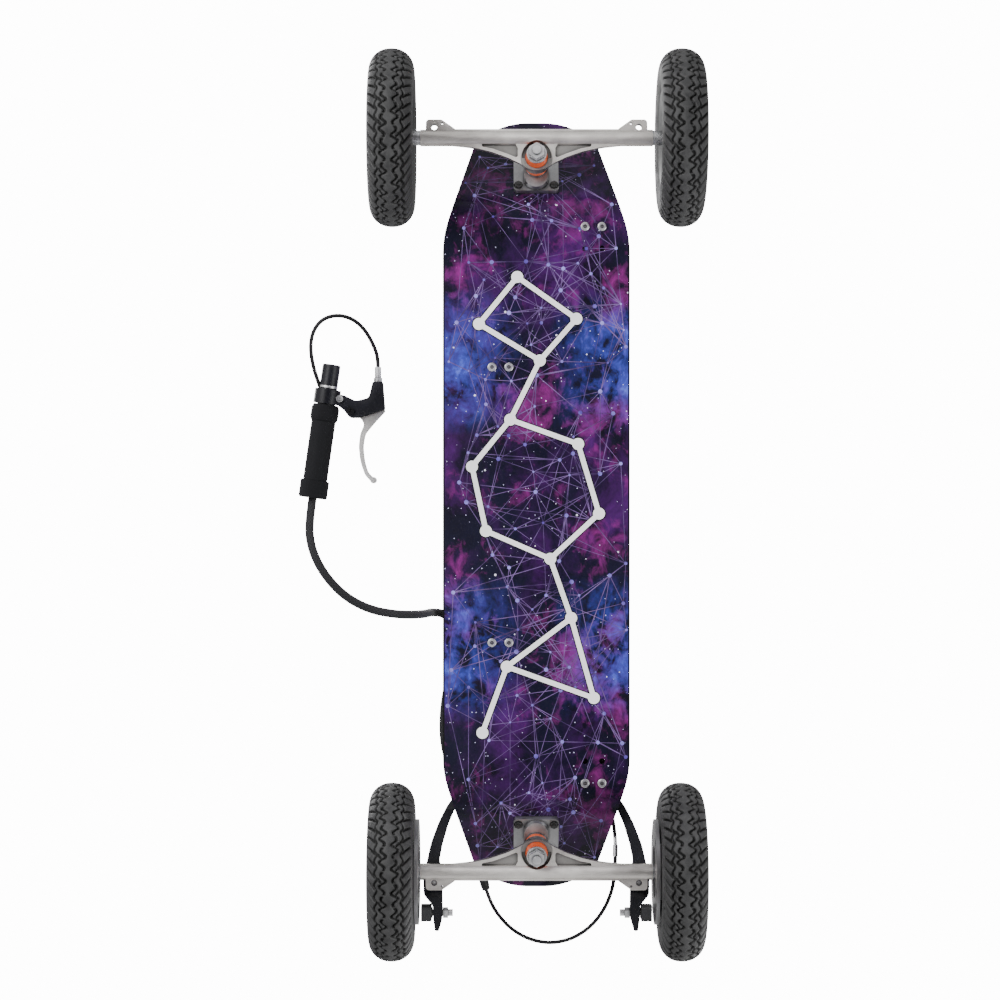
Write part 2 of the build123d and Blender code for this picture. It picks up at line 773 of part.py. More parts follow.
def turns(points):
    """Each corner's radius: 0.45 of the shorter run over the tangent of half the turn."""
    radii = []
    for a, b, c in zip(points, points[1:], points[2:]):
        ab, bc = Vector(*b) - Vector(*a), Vector(*c) - Vector(*b)
        half_turn = math.radians(ab.get_angle(bc)) / 2
        radii.append(0.45 * min(ab.length, bc.length) / math.tan(half_turn))
    return radii


def cord(points, r, name):
    """A round cord along straight runs and tangent arcs."""
    radii = turns(points)
    path = FilletPolyline(*points, radius=radii)
    start = Plane(points[0], z_dir=path % 0)
    tube = sweep(start * Circle(r), path=path)
    expected = math.pi * r * r * path.length
    print(f"{name}: length {path.length:.1f}, radii {[round(x) for x in radii]},", end=" ")
    print(f"volume {tube.volume:.1f} against {expected:.1f}")
    return tube


left_arm = arm()
save(at_rear(left_arm), "left_brake_arm")
right = mirrored(left_arm)
save(at_rear(right), "right_brake_arm")
pad = brake_pad()
save(at_rear(pad), "left_brake_pad")
save(at_rear(mirrored(pad)), "right_brake_pad")
post_set = pad_hardware()
clamp_line = along_y(anchor_s, axle_z + anchor_up)
clamp_from_y = lug_thick / 2 - lug_y
wire_clamp = rod(clamp_line, 3.5, clamp_from_y, clamp_from_y + 4, wire_r + play)
save([at_rear(p) for p in post_set], "left_pad_hardware")
save([at_rear(mirrored(p)) for p in post_set] + [at_rear(wire_clamp)], "right_pad_hardware")
stud = brake_stud()
save([at_rear(stud), at_rear(mirrored(stud))], "brake_studs")
noodle = cord(noodle_points(), noodle_r, "noodle")
ferrule_at = Vector(*noodle_points()[0])
ferrule_dir = (Vector(*noodle_points()[1]) - ferrule_at).normalized()
noodle += rod(Plane(ferrule_at, z_dir=ferrule_dir), 2.9, 0, 13)
save(at_rear(noodle), "cable_noodle")
boot = rod(clamp_line, 4.0, -20, 60.8, wire_r + 0.6)
save(at_rear(boot), "cable_boot")
wire = rod(clamp_line, wire_r, -80, 60.8)
save(at_rear(wire), "cable_wire")


# ---------------------------------------------------------------- bindings
def anchor_frame(index):
    """Middle of one binding, its anchor line's direction and its half span."""
    pair = front_anchors if index == 0 else [(-x, y) for x, y in front_anchors]
    (x0, y0), (x1, y1) = pair
    return ((x0 + x1) / 2, (y0 + y1) / 2), math.degrees(math.atan2(y0 - y1, x0 - x1)), math.dist(*pair) / 2


binding_floor = deck_top + grip_thick


def strap(index):
    """Padded arch over the instep."""
    (x, y), turn, half = anchor_frame(index)
    out = half - tab_from_bolts - tab_size[0] / 2 - gap
    outer = Ellipse(out, strap_high) & Pos(0, 150) * Rectangle(400, 300)
    inner = Ellipse(out - strap_thick, strap_high - strap_thick)
    arch = extrude(Plane.XZ * (outer - inner), strap_wide / 2, both=True)
    lift = binding_floor + binding_plate[2] + 2 * gap
    return Pos(x, y, lift) * Rotation(0, 0, turn) * arch


def binding_bracket(x, y, turn, towards):
    """Steel foot bolted to the deck, with an upright for the strap's end."""
    foot = Pos(x - math.copysign(plate_inboard, x), y, 0) * Box(*binding_plate, align=upright)
    foot = fillet(foot.edges().filter_by(Axis.Z), 6)
    tab = Box(*tab_size, align=upright)
    tab = fillet(tab.edges().filter_by(Axis.X).group_by(Axis.Z)[-1], 8)
    foot += Pos(x, y, 0) * Rotation(0, 0, turn) * Pos(towards * tab_from_bolts, 0, 0) * tab
    foot = Pos(0, 0, binding_floor + gap) * foot
    for side in (-1, 1):
        foot -= rod(along_z(x, y + side * anchor_bolt_gap / 2), binding_bolt_r + 0.3, 0, 300)
    return foot


def binding_bolt(x, y):
    p = along_z(x, y)
    bolt = rod(p, binding_bolt_r, deck_z, binding_floor + 9)
    head = rod(p, bolt_head_r, deck_z - bolt_head_h, deck_z)
    head = fillet(head.edges().group_by(Axis.Z)[0], bolt_head_h - 1)
    bolt += head
    return bolt - hexagon(p, 4, deck_z - bolt_head_h - 1, deck_z - 0.8)


brackets, strap_nodes, pads = [], [], []
for index in (0, 1):
    (cx, cy), turn, half = anchor_frame(index)
    pair = front_anchors if index == 0 else [(-x, y) for x, y in front_anchors]
    brackets += [binding_bracket(*pair[0], turn, -1), binding_bracket(*pair[1], turn, 1)]
    strap_nodes.append(strap(index))
    sole = fillet(Box(*foot_pad, align=upright).edges().filter_by(Axis.Z), 30)
    pads.append(Pos(cx, cy, binding_floor + gap) * Rotation(0, 0, turn) * sole)
save(brackets, "binding_brackets")
save(strap_nodes[0], "front_binding_strap")
save(strap_nodes[1], "rear_binding_strap")
save(pads, "foot_pads")
nut_seat = binding_floor + gap + binding_plate[2]
stack = [binding_bolt(x, y) for x, y in binding_holes()]
stack += [
    hexagon(along_z(x, y), 9.5, nut_seat, nut_seat + 4.5, binding_bolt_r + 0.02)
    for x, y in binding_holes()
]
save(stack, "binding_bolts")


# ---------------------------------------------------------------- hand lever
turn_rad = math.radians(handle_turn)
handle_dir = Vector(math.cos(turn_rad), math.sin(turn_rad), 0)
handle_plane = Plane((*handle_foot, handle_z), x_dir=(0, 0, 1), z_dir=handle_dir)


def handle_round(points):
    """A turned piece on the handle, from (radius, station) corners."""
    face = make_face(Polyline(*[(r, 0, t) for r, t in points], close=True))
    return handle_plane.location * revolve(face, Axis.Z)


def cable_bore():
    """Slanted hole where the lever's cable enters the handle tube."""
    a, b = Vector(*lever_cable_points[-2]), Vector(*lever_cable_points[-1])
    line = Plane(a, z_dir=(b - a).normalized())
    return rod(line, cable_r + gap, -2, (b - a).length + 3)


def handle_tube():
    tube = rod(handle_plane, handle_r, 3, handle_len)
    tube = fillet(tube.edges().sort_by(Axis((0, 0, 0), tuple(handle_dir)))[-1:], 2)
    tube -= rod(handle_plane, handle_bore, 2, handle_len - 3)
    return tube - cable_bore()


def lever_bracket():
    """Clamp round the handle, the fork that carries the lever, and the cable boss."""
    outline = [
        (124.6, -226.0), (121.5, -214.0), (115.7, -201.9), (119.0, -187.5), (adjuster_x, -183.2),
        (adjuster_x, -171.8), (106.2, -169.5), (101.5, -183.0), (96.8, -197.5), (96.8, -208.6),
        (104.6, -214.5), (112.0, -223.5),
    ]
    fork = extrude(flat(outline, [2, 6, 6, 6, 1.5, 1.5, 2, 8, 4, 5, 4, 2]), 2 * bracket_half)
    body = Pos(0, 0, handle_z - bracket_half) * fork
    body += rod(handle_plane, clamp_r, clamp_from, clamp_to)
    body -= rod(handle_plane, handle_r + 0.02, 80, 140)
    slot = flat([(80, -216), (118, -216), (118, -160), (80, -160)])
    reach = lever_half + gap
    body -= Pos(0, 0, handle_z - reach) * extrude(slot, 2 * reach)
    body -= rod(along_z(*lever_pivot), lever_pin_r, 0, 40)
    body -= rod(along_z(*clamp_screw), lever_pin_r, 0, 40)
    for x, y in (lever_pivot, clamp_screw):
        body -= rod(along_z(x, y), screw_head_r + gap, -10, handle_z - bracket_half)
    cable_line = Plane((0, adjuster_y, handle_z), x_dir=(0, 1, 0), z_dir=(1, 0, 0))
    body -= rod(cable_line, 2.5 + play, 110, 150)
    return body - cable_bore()


def lever():
    """Pull lever: a root in the fork and a bent blade with a ball end."""
    blade = [
        (110.5, -206), (112, -192), (110.0, -174), (104.5, -168.6), (92.7, -179.7), (79, -191.2),
        (65, -193.8), (48, -192), (36, -188.2), (28.5, -180.5), (25.0, -184.0), (33, -191.6),
        (47, -196.8), (65, -198.8), (79, -197.0), (90, -192.5), (97, -197), (99.5, -208),
    ]
    radii = [4, 4, 4, 2, 30, 14, 40, 60, 14, 2, 2, 14, 60, 40, 20, 6, 6, 4]
    body = extrude(flat(blade, radii), 2 * lever_half)
    body += Pos(*lever_pivot, 0) * Cylinder(5.5, 2 * lever_half, align=upright)
    body += Pos(27.6, -182.4, 0) * Cylinder(3.6, 2 * lever_half, align=upright)
    body = Pos(0, 0, handle_z - lever_half) * body
    return body - rod(along_z(*lever_pivot), lever_pin_r + play, 0, 40)


def lever_screws():
    low, high = handle_z - bracket_half, handle_z + bracket_half
    screws = []
    for x, y in (lever_pivot, clamp_screw):
        screw = rod(along_z(x, y), lever_pin_r, low, high + 1)
        screw += rod(along_z(x, y), screw_head_r, low - 2.5, low)
        screws.append(screw - hexagon(along_z(x, y), 3.5, low - 3, low - 1))
    return screws


def adjuster():
    """Barrel adjuster: a knurled nut and a threaded stem, both bored for the wire."""
    line = Plane((0, adjuster_y, handle_z), x_dir=(0, 1, 0), z_dir=(1, 0, 0))
    body = rod(line, 2.5, adjuster_x - 8, adjuster_x + 0.1)
    body += rod(line, 4.8, adjuster_x + 0.1, adjuster_x + 4.5)
    body += rod(line, 3.6, adjuster_x + 4.5, lever_cable_points[0][0] - 0.1)
    return body - rod(line, 1.2, 100, 200)


save(handle_tube(), "handle_tube")
grip_profile = [
    (handle_r + 0.02, collar_len),
    (grip_r, collar_len),
    (grip_r, grip_end),
    (grip_flange_r - 0.8, grip_end + 1.5),
    (grip_flange_r, grip_end + 5),
    (grip_flange_r, flange_end - 4),
    (grip_r, flange_end),
    (handle_r + 0.02, flange_end),
]
save(handle_round(grip_profile), "foam_grip")
collar_profile = [
    (0, 0), (collar_r - 1.5, 0), (collar_r, 1.5), (collar_r, collar_len - 1), (collar_r - 1, collar_len),
    (handle_r + 0.02, collar_len), (handle_r + 0.02, 3), (0, 3),
]
save(handle_round(collar_profile), "grip_collar")
save(lever_bracket(), "lever_bracket")
save(lever(), "brake_lever")
save(lever_screws(), "lever_screws")
save(adjuster(), "barrel_adjuster")

# ---------------------------------------------------------------- cords
save(cord(lever_cable_points, cable_r, "lever cable"), "lever_cable")
save(cord(sleeve_points, sleeve_r, "leash sleeve"), "leash_sleeve")
save(cord(brake_cable_points, cable_r, "brake cable"), "brake_cable")
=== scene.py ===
# %% [markdown]
# # An all-terrain board, seen from below
# The board's sizes and moving parts come from a imported CAD model, in metres, with X towards the nose,
# Y to the left and Z up. This lesson adds what CAD leaves out: rubber, cast metal, printed varnish,
# webbing and cables. Every piece we make but the brake cable rides on one of the model's bodies, so it
# moves as they do.

# %% Load the frame
import math

import bmesh
import bpy
import numpy as np
from mathutils import Matrix, Vector


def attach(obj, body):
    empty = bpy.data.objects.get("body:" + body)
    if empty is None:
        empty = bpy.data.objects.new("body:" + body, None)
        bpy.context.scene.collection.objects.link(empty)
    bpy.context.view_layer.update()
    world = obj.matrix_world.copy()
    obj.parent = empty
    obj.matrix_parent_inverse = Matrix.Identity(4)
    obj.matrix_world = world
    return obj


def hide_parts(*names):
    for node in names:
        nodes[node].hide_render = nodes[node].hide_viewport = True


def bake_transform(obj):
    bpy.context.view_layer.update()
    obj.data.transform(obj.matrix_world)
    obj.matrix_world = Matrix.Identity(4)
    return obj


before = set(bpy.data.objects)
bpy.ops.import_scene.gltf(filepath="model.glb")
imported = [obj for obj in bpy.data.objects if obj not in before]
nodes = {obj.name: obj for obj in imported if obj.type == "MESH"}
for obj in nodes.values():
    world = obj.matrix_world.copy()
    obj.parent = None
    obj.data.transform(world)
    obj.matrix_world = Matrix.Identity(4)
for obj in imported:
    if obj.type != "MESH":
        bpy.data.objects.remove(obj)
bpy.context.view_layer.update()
mm = 0.001
axle_x, axle_z, kingpin_x = 0.420, 0.1015, 0.3955
deck_z, pad_floor = 0.1135, 0.1266

# %% [markdown]
# ## Camera, floor and light
# We look straight up at the board from three metres below, with the nose at the top of the picture.
# The floor is a real plane under the wheels, but its back is clear, so it hides nothing from below.

# %% Camera, floor and light
def look(name, place, right, up, lens):
    """A camera from its place and the directions of the picture's right and top."""
    data = bpy.data.cameras.new(name)
    data.lens, data.sensor_width = lens, 36.0
    data.clip_end = 200
    camera = bpy.data.objects.new(name, data)
    bpy.context.scene.collection.objects.link(camera)
    x, y = Vector(right), Vector(up)
    turn = Matrix((x, y, x.cross(y))).transposed().to_4x4()
    camera.matrix_world = Matrix.Translation(place) @ turn
    return camera


bpy.context.scene.camera = look("camera", (0.0056, -0.0418, -2.8985), (0, 1, 0), (1, 0, 0), 94.33)


def soft_light(name, place, aim, size, watts):
    """A square soft box that faces a point."""
    data = bpy.data.lights.new(name, "AREA")
    data.size, data.energy = size, watts
    lamp = bpy.data.objects.new(name, data)
    bpy.context.scene.collection.objects.link(lamp)
    lamp.location = place
    lamp.rotation_euler = (Vector(aim) - Vector(place)).to_track_quat("-Z", "Y").to_euler()
    return lamp


soft_light("low_left", (1.3, -1.7, -1.9), (0, 0, 0.1), 1.3, 105)
soft_light("low_right", (-0.9, 2.0, -1.8), (0, 0, 0.1), 1.0, 70)
soft_light("high_key", (0.9, -1.4, 2.3), (0, 0, 0.1), 1.6, 45)
soft_light("high_fill", (-1.8, 1.5, 1.6), (0, 0, 0.1), 1.4, 22)


def studio_world(light, dark, backdrop):
    """Even light from the sides and above, with a dark patch straight down that the varnish reflects."""
    world = bpy.data.worlds.new("studio")
    bpy.context.scene.world = world
    world.use_nodes = True
    tree = world.node_tree
    coords = tree.nodes.new("ShaderNodeTexCoord")
    split = tree.nodes.new("ShaderNodeSeparateXYZ")
    fade = tree.nodes.new("ShaderNodeMapRange")
    for i, value in enumerate((-0.975, -0.93, dark, light)):
        fade.inputs[i + 1].default_value = value
    seen = tree.nodes.new("ShaderNodeLightPath")
    pick = tree.nodes.new("ShaderNodeMix")
    pick.inputs[3].default_value = backdrop
    tree.links.new(coords.outputs["Generated"], split.inputs[0])
    tree.links.new(split.outputs["Z"], fade.inputs[0])
    tree.links.new(seen.outputs["Is Camera Ray"], pick.inputs[0])
    tree.links.new(fade.outputs[0], pick.inputs[2])
    back = tree.nodes["Background"]
    back.inputs["Color"].default_value = (1, 1, 1, 1)
    tree.links.new(pick.outputs[0], back.inputs["Strength"])


studio_world(light=0.56, dark=0.02, backdrop=14.0)
print("camera lens", bpy.context.scene.camera.data.lens)

# %% [markdown]
# ## Writing a finish
# A finish is a small drawing of nodes. `Value` wraps one output socket, so that sums on it read as
# plain Python, and `Finish.add` puts in any other node with its settings first and then its inputs.

# %% Two small classes for finishes
class Value:
    """One output socket. Sums on it add Math nodes."""

    def __init__(self, finish, socket):
        self.finish, self.socket = finish, socket

    def maths(self, operation, *others):
        return self.finish.add("ShaderNodeMath", {"operation": operation}, dict(enumerate((self,) + others)))

    def __add__(self, other):
        return self.maths("ADD", other)

    def __sub__(self, other):
        return self.maths("SUBTRACT", other)

    def __rsub__(self, other):
        return (self * -1) + other

    def __mul__(self, other):
        return self.maths("MULTIPLY", other)

    def __truediv__(self, other):
        return self.maths("DIVIDE", other)

    def __abs__(self):
        return self.maths("ABSOLUTE")

    def above(self, edge):
        return self.maths("GREATER_THAN", edge)

    def below(self, edge):
        return self.maths("LESS_THAN", edge)

    def wave(self, step):
        """A sine of this value, once for each step."""
        return (self * (2 * math.pi / step)).maths("SINE")

    __radd__ = __add__
    __rmul__ = __mul__


class Finish:
    """One material. Even values are named; what varies is linked with feed()."""

    def __init__(self, name, **even):
        self.material = bpy.data.materials.new(name)
        self.material.use_nodes = True
        self.tree = self.material.node_tree
        self.skin = self.tree.nodes["Principled BSDF"]
        for socket, value in even.items():
            self.skin.inputs[socket.replace("_", " ")].default_value = value

    def add(self, kind, settings=None, inputs=None, out=0):
        node = self.tree.nodes.new(kind)
        for key, value in (settings or {}).items():
            if key == "stops":
                ramp = node.color_ramp.elements
                while len(ramp) < len(value):
                    ramp.new(0.5)
                for element, (place, colour) in zip(ramp, value):
                    element.position, element.color = place, (*colour, 1)
            else:
                setattr(node, key, value)
        for key, value in (inputs or {}).items():
            if isinstance(value, Value):
                self.tree.links.new(value.socket, node.inputs[key])
            else:
                node.inputs[key].default_value = value
        return Value(self, node.outputs[out])

    def place(self, stretch=(1, 1, 1), turn=(0, 0, 0)):
        """Object coordinates, stretched or turned by a Mapping node."""
        coords = self.add("ShaderNodeTexCoord", out="Object")
        return self.add("ShaderNodeMapping", {}, {"Vector": coords, "Scale": stretch, "Rotation": turn})

    def parts(self, vector):
        split = self.add("ShaderNodeSeparateXYZ", {}, {"Vector": vector})
        return [Value(self, s) for s in split.socket.node.outputs]

    def noise(self, scale, detail=3.0, rough=0.5, vector=None, bend=0.0):
        vector = vector or self.place()
        values = {"Vector": vector, "Scale": scale, "Detail": detail, "Roughness": rough, "Distortion": bend}
        return self.add("ShaderNodeTexNoise", {}, values)

    def cells(self, scale, out=0):
        return self.add("ShaderNodeTexVoronoi", {}, {"Vector": self.place(), "Scale": scale}, out=out)

    def ramp(self, value, *stops):
        return self.add("ShaderNodeValToRGB", {"stops": stops}, {0: value})

    def between(self, value, low, high, to_low, to_high):
        values = {0: value, 1: low, 2: high, 3: to_low, 4: to_high}
        return self.add("ShaderNodeMapRange", {"clamp": True}, values)

    def mix(self, amount, one, two):
        return self.add("ShaderNodeMix", {"data_type": "RGBA"}, {0: amount, 6: one, 7: two}, out=2)

    def bump(self, height, distance, strength=1.0):
        values = {"Height": height, "Distance": distance, "Strength": strength}
        self.feed(Normal=self.add("ShaderNodeBump", {}, values))
        return self

    def feed(self, **links):
        for socket, value in links.items():
            self.tree.links.new(value.socket, self.skin.inputs[socket.replace("_", " ")])
        return self


def rgb(r, g, b):
    return (r, g, b, 1)


print("finish classes ready")

# %% [markdown]
# ## Metals
# Sand-cast aluminium is a fine grain of grey with soft, slightly warm patches. Turned steel has fine
# rings, and zinc-plated hardware has cloudy brightness. None needs an image: noise at two sizes does it.

# %% Metals
def metal(name, dark, light, rough, grain, depth, patch=35.0):
    """A metal whose colour drifts between two tones, with a fine grain in relief."""
    f = Finish(name, Metallic=1.0)
    drift = f.noise(patch, 4.0, 0.6)
    fine = f.noise(grain, 2.0, 0.5)
    f.feed(Base_Color=f.ramp(drift * 0.75 + fine * 0.25, (0.36, dark), (0.64, light)))
    f.feed(Roughness=f.between(drift, 0.35, 0.65, rough - 0.06, rough + 0.07))
    f.bump(fine, depth)
    return f.material




def painted_hollow_shade(f, tone, shade, reach=0.008):
    """Darkens a tone in hollows and sockets with painted shade, found by an ambient occlusion node."""
    open_air = f.add("ShaderNodeAmbientOcclusion", {"samples": 8}, {"Distance": reach}, out="AO")
    return f.mix(f.between(open_air, 0.35, 0.95, 1.0, 0.0), tone, rgb(*shade))


def cast_hanger(name):
    """Cast aluminium with a bright blasted face; painted shade greys the web's recessed panels, the seat round
    the kingpin and the hollows.
    """
    f = Finish(name, Metallic=1.0)
    x, y, z = f.parts(f.place())
    drift, fine = f.noise(30.0, 4.0, 0.6, f.place((1, 0.5, 1))), f.noise(900.0, 2.0)
    streak = f.noise(14.0, 3.0, 0.5, f.place((3.0, 0.4, 3.0)))
    cloud = drift * 0.5 + fine * 0.2 + streak * 0.3
    tone = f.ramp(cloud, (0.36, (0.62, 0.59, 0.56)), (0.62, (0.92, 0.89, 0.85)))
    # Painted shade: the web's recessed panels and the kingpin's seat are mixed towards a darker grey.
    web_panel_shade = f.between(abs(z - axle_z), 0.0034, 0.0040, 1.0, 0.0)
    floor = web_panel_shade * abs(y).above(0.0165) * abs(y).below(0.080)
    ahead = abs(x) - kingpin_x
    from_king = ((ahead * ahead) + (y * y)).maths("SQRT")
    kingpin_seat_shade = f.between(from_king, 0.0178, 0.0186, 1.0, 0.0)
    recess_shaded_tone = f.mix(floor.maths("MAXIMUM", kingpin_seat_shade) * 0.8, tone, rgb(0.24, 0.235, 0.23))
    f.feed(Base_Color=painted_hollow_shade(f, recess_shaded_tone, (0.10, 0.098, 0.095)))
    f.feed(Roughness=f.between(drift, 0.35, 0.65, 0.30, 0.44))
    return f.bump(fine, 0.0001).material


def plated(name, dark, light, rough, shade, grain=1800.0, depth=0.00003, patch=90.0):
    """Machined or plated metal, with painted shade darkening its sockets and the metal under its edges."""
    f = Finish(name, Metallic=1.0)
    drift, fine = f.noise(patch, 4.0, 0.6), f.noise(grain, 2.0, 0.5)
    tone = f.ramp(drift * 0.75 + fine * 0.25, (0.36, dark), (0.64, light))
    f.feed(Base_Color=painted_hollow_shade(f, tone, shade, 0.004))
    f.feed(Roughness=f.between(drift, 0.35, 0.65, rough - 0.05, rough + 0.06))
    return f.bump(fine, depth).material


finishes = {
    "cast": cast_hanger("cast_aluminium"),
    "plate": plated(
        "dull_cast_plate", (0.30, 0.30, 0.31), (0.46, 0.46, 0.47), 0.40, (0.04, 0.04, 0.04), 900, 0.0001, 35
    ),
    "steel": metal("turned_steel", (0.50, 0.50, 0.51), (0.72, 0.72, 0.73), 0.28, 2600, 0.00003),
    "zinc": plated("bright_zinc", (0.72, 0.73, 0.75), (0.97, 0.97, 0.98), 0.22, (0.05, 0.05, 0.05)),
    "polished": plated(
        "polished_blade", (0.80, 0.79, 0.77), (0.96, 0.95, 0.94), 0.14, (0.20, 0.19, 0.18), 3000, 0.00001, 20
    ),
}


def brushed_disc(name):
    """A brake disc: fine rings about the axle, darker where the pads run."""
    f = Finish(name, Metallic=1.0, Anisotropic=0.4)
    x, y, z = f.parts(f.place())
    away = (((x + axle_x) * (x + axle_x)) + ((z - axle_z) * (z - axle_z))).maths("SQRT")
    rings = f.add("ShaderNodeTexNoise", {"noise_dimensions": "1D"}, {"W": away, "Scale": 2600.0, "Detail": 3.0})
    run = f.between(abs(away - 0.049), 0.006, 0.011, 1.0, 0.0)
    f.feed(Base_Color=f.ramp(rings - run * 0.12, (0.3, (0.22, 0.22, 0.225)), (0.7, (0.44, 0.44, 0.45))))
    f.feed(Roughness=f.between(rings, 0.3, 0.7, 0.25, 0.45))
    return f.bump(rings, 0.00004).material


finishes["disc"] = brushed_disc("brushed_disc")
print("metals:", sorted(finishes))

# %% [markdown]
# ## Paint, rubber and plastic
# The brake arms and the handle are black painted metal with a thin gloss. The foam grip is full of
# tiny cells, and the moulded hubs have a spark-eroded grain. Urethane bushings are a clear orange red.

# %% Paint, rubber and plastic
def moulded(name, dark, light, rough, grain, depth, coat=0.0, patch=40.0, spec=0.5):
    """A paint, rubber or plastic: two near tones, uneven gloss and a grain in relief."""
    f = Finish(name, Coat_Weight=coat, Coat_Roughness=0.2, Specular_IOR_Level=spec)
    drift = f.noise(patch, 4.0, 0.6)
    fine = f.noise(grain, 3.0, 0.6)
    f.feed(Base_Color=f.ramp(drift * 0.6 + fine * 0.4, (0.35, dark), (0.65, light)))
    f.feed(Roughness=f.between(fine, 0.3, 0.7, rough - 0.08, rough + 0.08))
    return f.bump(fine, depth).material


def foam(name, scale, dark, light):
    """Closed-cell foam: small round cells, each a shallow dimple whose middle is darkened with painted shade.
    """
    f = Finish(name, Roughness=0.85, Specular_IOR_Level=0.25)
    cell = f.cells(scale)
    f.feed(Base_Color=f.ramp(cell + f.noise(60) * 0.3, (0.15, dark), (0.75, light)))
    return f.bump(cell, 0.00012).material


finishes.update(
    black=moulded(
        "black_paint", (0.003, 0.003, 0.005), (0.009, 0.009, 0.014), 0.34, 1500, 0.00003, coat=0.15, spec=0.3
    ),
    hub=moulded("hub_plastic", (0.012, 0.012, 0.013), (0.028, 0.028, 0.029), 0.45, 1200, 0.00005),
    tube=moulded("inner_tube", (0.012, 0.012, 0.012), (0.025, 0.025, 0.025), 0.6, 700, 0.00004),
    shoe=moulded("brake_shoe", (0.014, 0.014, 0.016), (0.032, 0.032, 0.035), 0.7, 600, 0.00012),
    cable=moulded("cable_housing", (0.002, 0.002, 0.0025), (0.006, 0.006, 0.007), 0.3, 900, 0.00002, spec=0.3),
    urethane=moulded("urethane", (0.55, 0.06, 0.008), (0.86, 0.13, 0.02), 0.34, 500, 0.00003, coat=0.4),
    bolt=moulded("black_bolt", (0.008, 0.008, 0.008), (0.03, 0.03, 0.03), 0.4, 1600, 0.00004, coat=0.2),
    foam=foam("foam_grip", 900.0, (0.0015, 0.0015, 0.002), (0.006, 0.006, 0.008)),
    pad=foam("sole_foam", 420.0, (0.012, 0.012, 0.014), (0.035, 0.035, 0.038)),
)


def grit(name):
    """Grip sheet: dense black grains that glint here and there."""
    f = Finish(name, Specular_IOR_Level=0.6)
    grain = f.cells(1500.0)
    glint = f.noise(2200.0, 1.0)
    # Painted shade: the colour darkens between the grains, where the bump sinks, and is lightest on the grains'
    # tops.
    f.feed(Base_Color=f.ramp(grain, (0.1, (0.03, 0.03, 0.032)), (0.7, (0.006, 0.006, 0.007))))
    f.feed(Roughness=f.between(glint, 0.62, 0.7, 0.85, 0.3))
    return f.bump(grain * -1, 0.0003).material


def tread_rubber(name):
    """Tyre rubber: greyer on the crown than in the grooves, which painted shade darkens, in dusty tones that
    drift at random, with a matt bloom.
    """
    f = Finish(name, Specular_IOR_Level=0.3)
    dust, fine = f.noise(55.0, 5.0, 0.65), f.noise(1300.0, 2.0)
    low = f.add("ShaderNodeAttribute", {"attribute_name": "depth"}, out="Fac")
    tone = f.ramp(dust * 0.7 + fine * 0.3, (0.35, (0.022, 0.022, 0.023)), (0.66, (0.062, 0.062, 0.063)))
    # Painted shade: the deeper the tread groove, the more its colour is mixed towards near black.
    f.feed(Base_Color=f.mix(f.between(low, 0.05, 0.6, 0.0, 1.0), tone, rgb(0.003, 0.003, 0.003)))
    f.feed(Roughness=f.between(dust, 0.35, 0.65, 0.52, 0.72))
    return f.bump(fine, 0.00008).material


def two_screws(name):
    """The clamp's screw is bright zinc and the lever's pivot is blackened, either side of a line."""
    f = Finish(name, Roughness=0.3)
    x, y, z = f.parts(f.place())
    pivot = y.above(-0.2136)
    drift = f.noise(120.0, 3.0)
    zinc = f.ramp(drift, (0.4, (0.62, 0.62, 0.63)), (0.6, (0.86, 0.86, 0.87)))
    f.feed(Base_Color=f.mix(pivot, zinc, rgb(0.008, 0.008, 0.01)))
    f.feed(Metallic=1 - pivot * 0.6, Roughness=f.between(drift, 0.3, 0.7, 0.24, 0.36))
    return f.bump(f.noise(2200.0, 2.0), 0.00003).material


def noodle_pipe(name):
    """A bent pipe in black, with a bare metal ferrule at its low end."""
    f = Finish(name, Roughness=0.3)
    x, y, z = f.parts(f.place())
    bare = z.below(0.1475)
    drift = f.noise(90.0, 3.0)
    black = f.ramp(drift, (0.4, (0.004, 0.004, 0.005)), (0.6, (0.010, 0.010, 0.012)))
    f.feed(Base_Color=f.mix(bare, black, rgb(0.55, 0.55, 0.56)))
    f.feed(Metallic=bare * 1.0, Roughness=f.between(drift, 0.3, 0.7, 0.24, 0.36))
    return f.bump(f.noise(1500.0, 2.0), 0.00002).material


finishes.update(grip=grit("grip_sheet"), tyre=tread_rubber("tread_rubber"))
finishes.update(screws=two_screws("handle_screws"), noodle=noodle_pipe("noodle_pipe"))
print("finishes so far:", len(finishes))
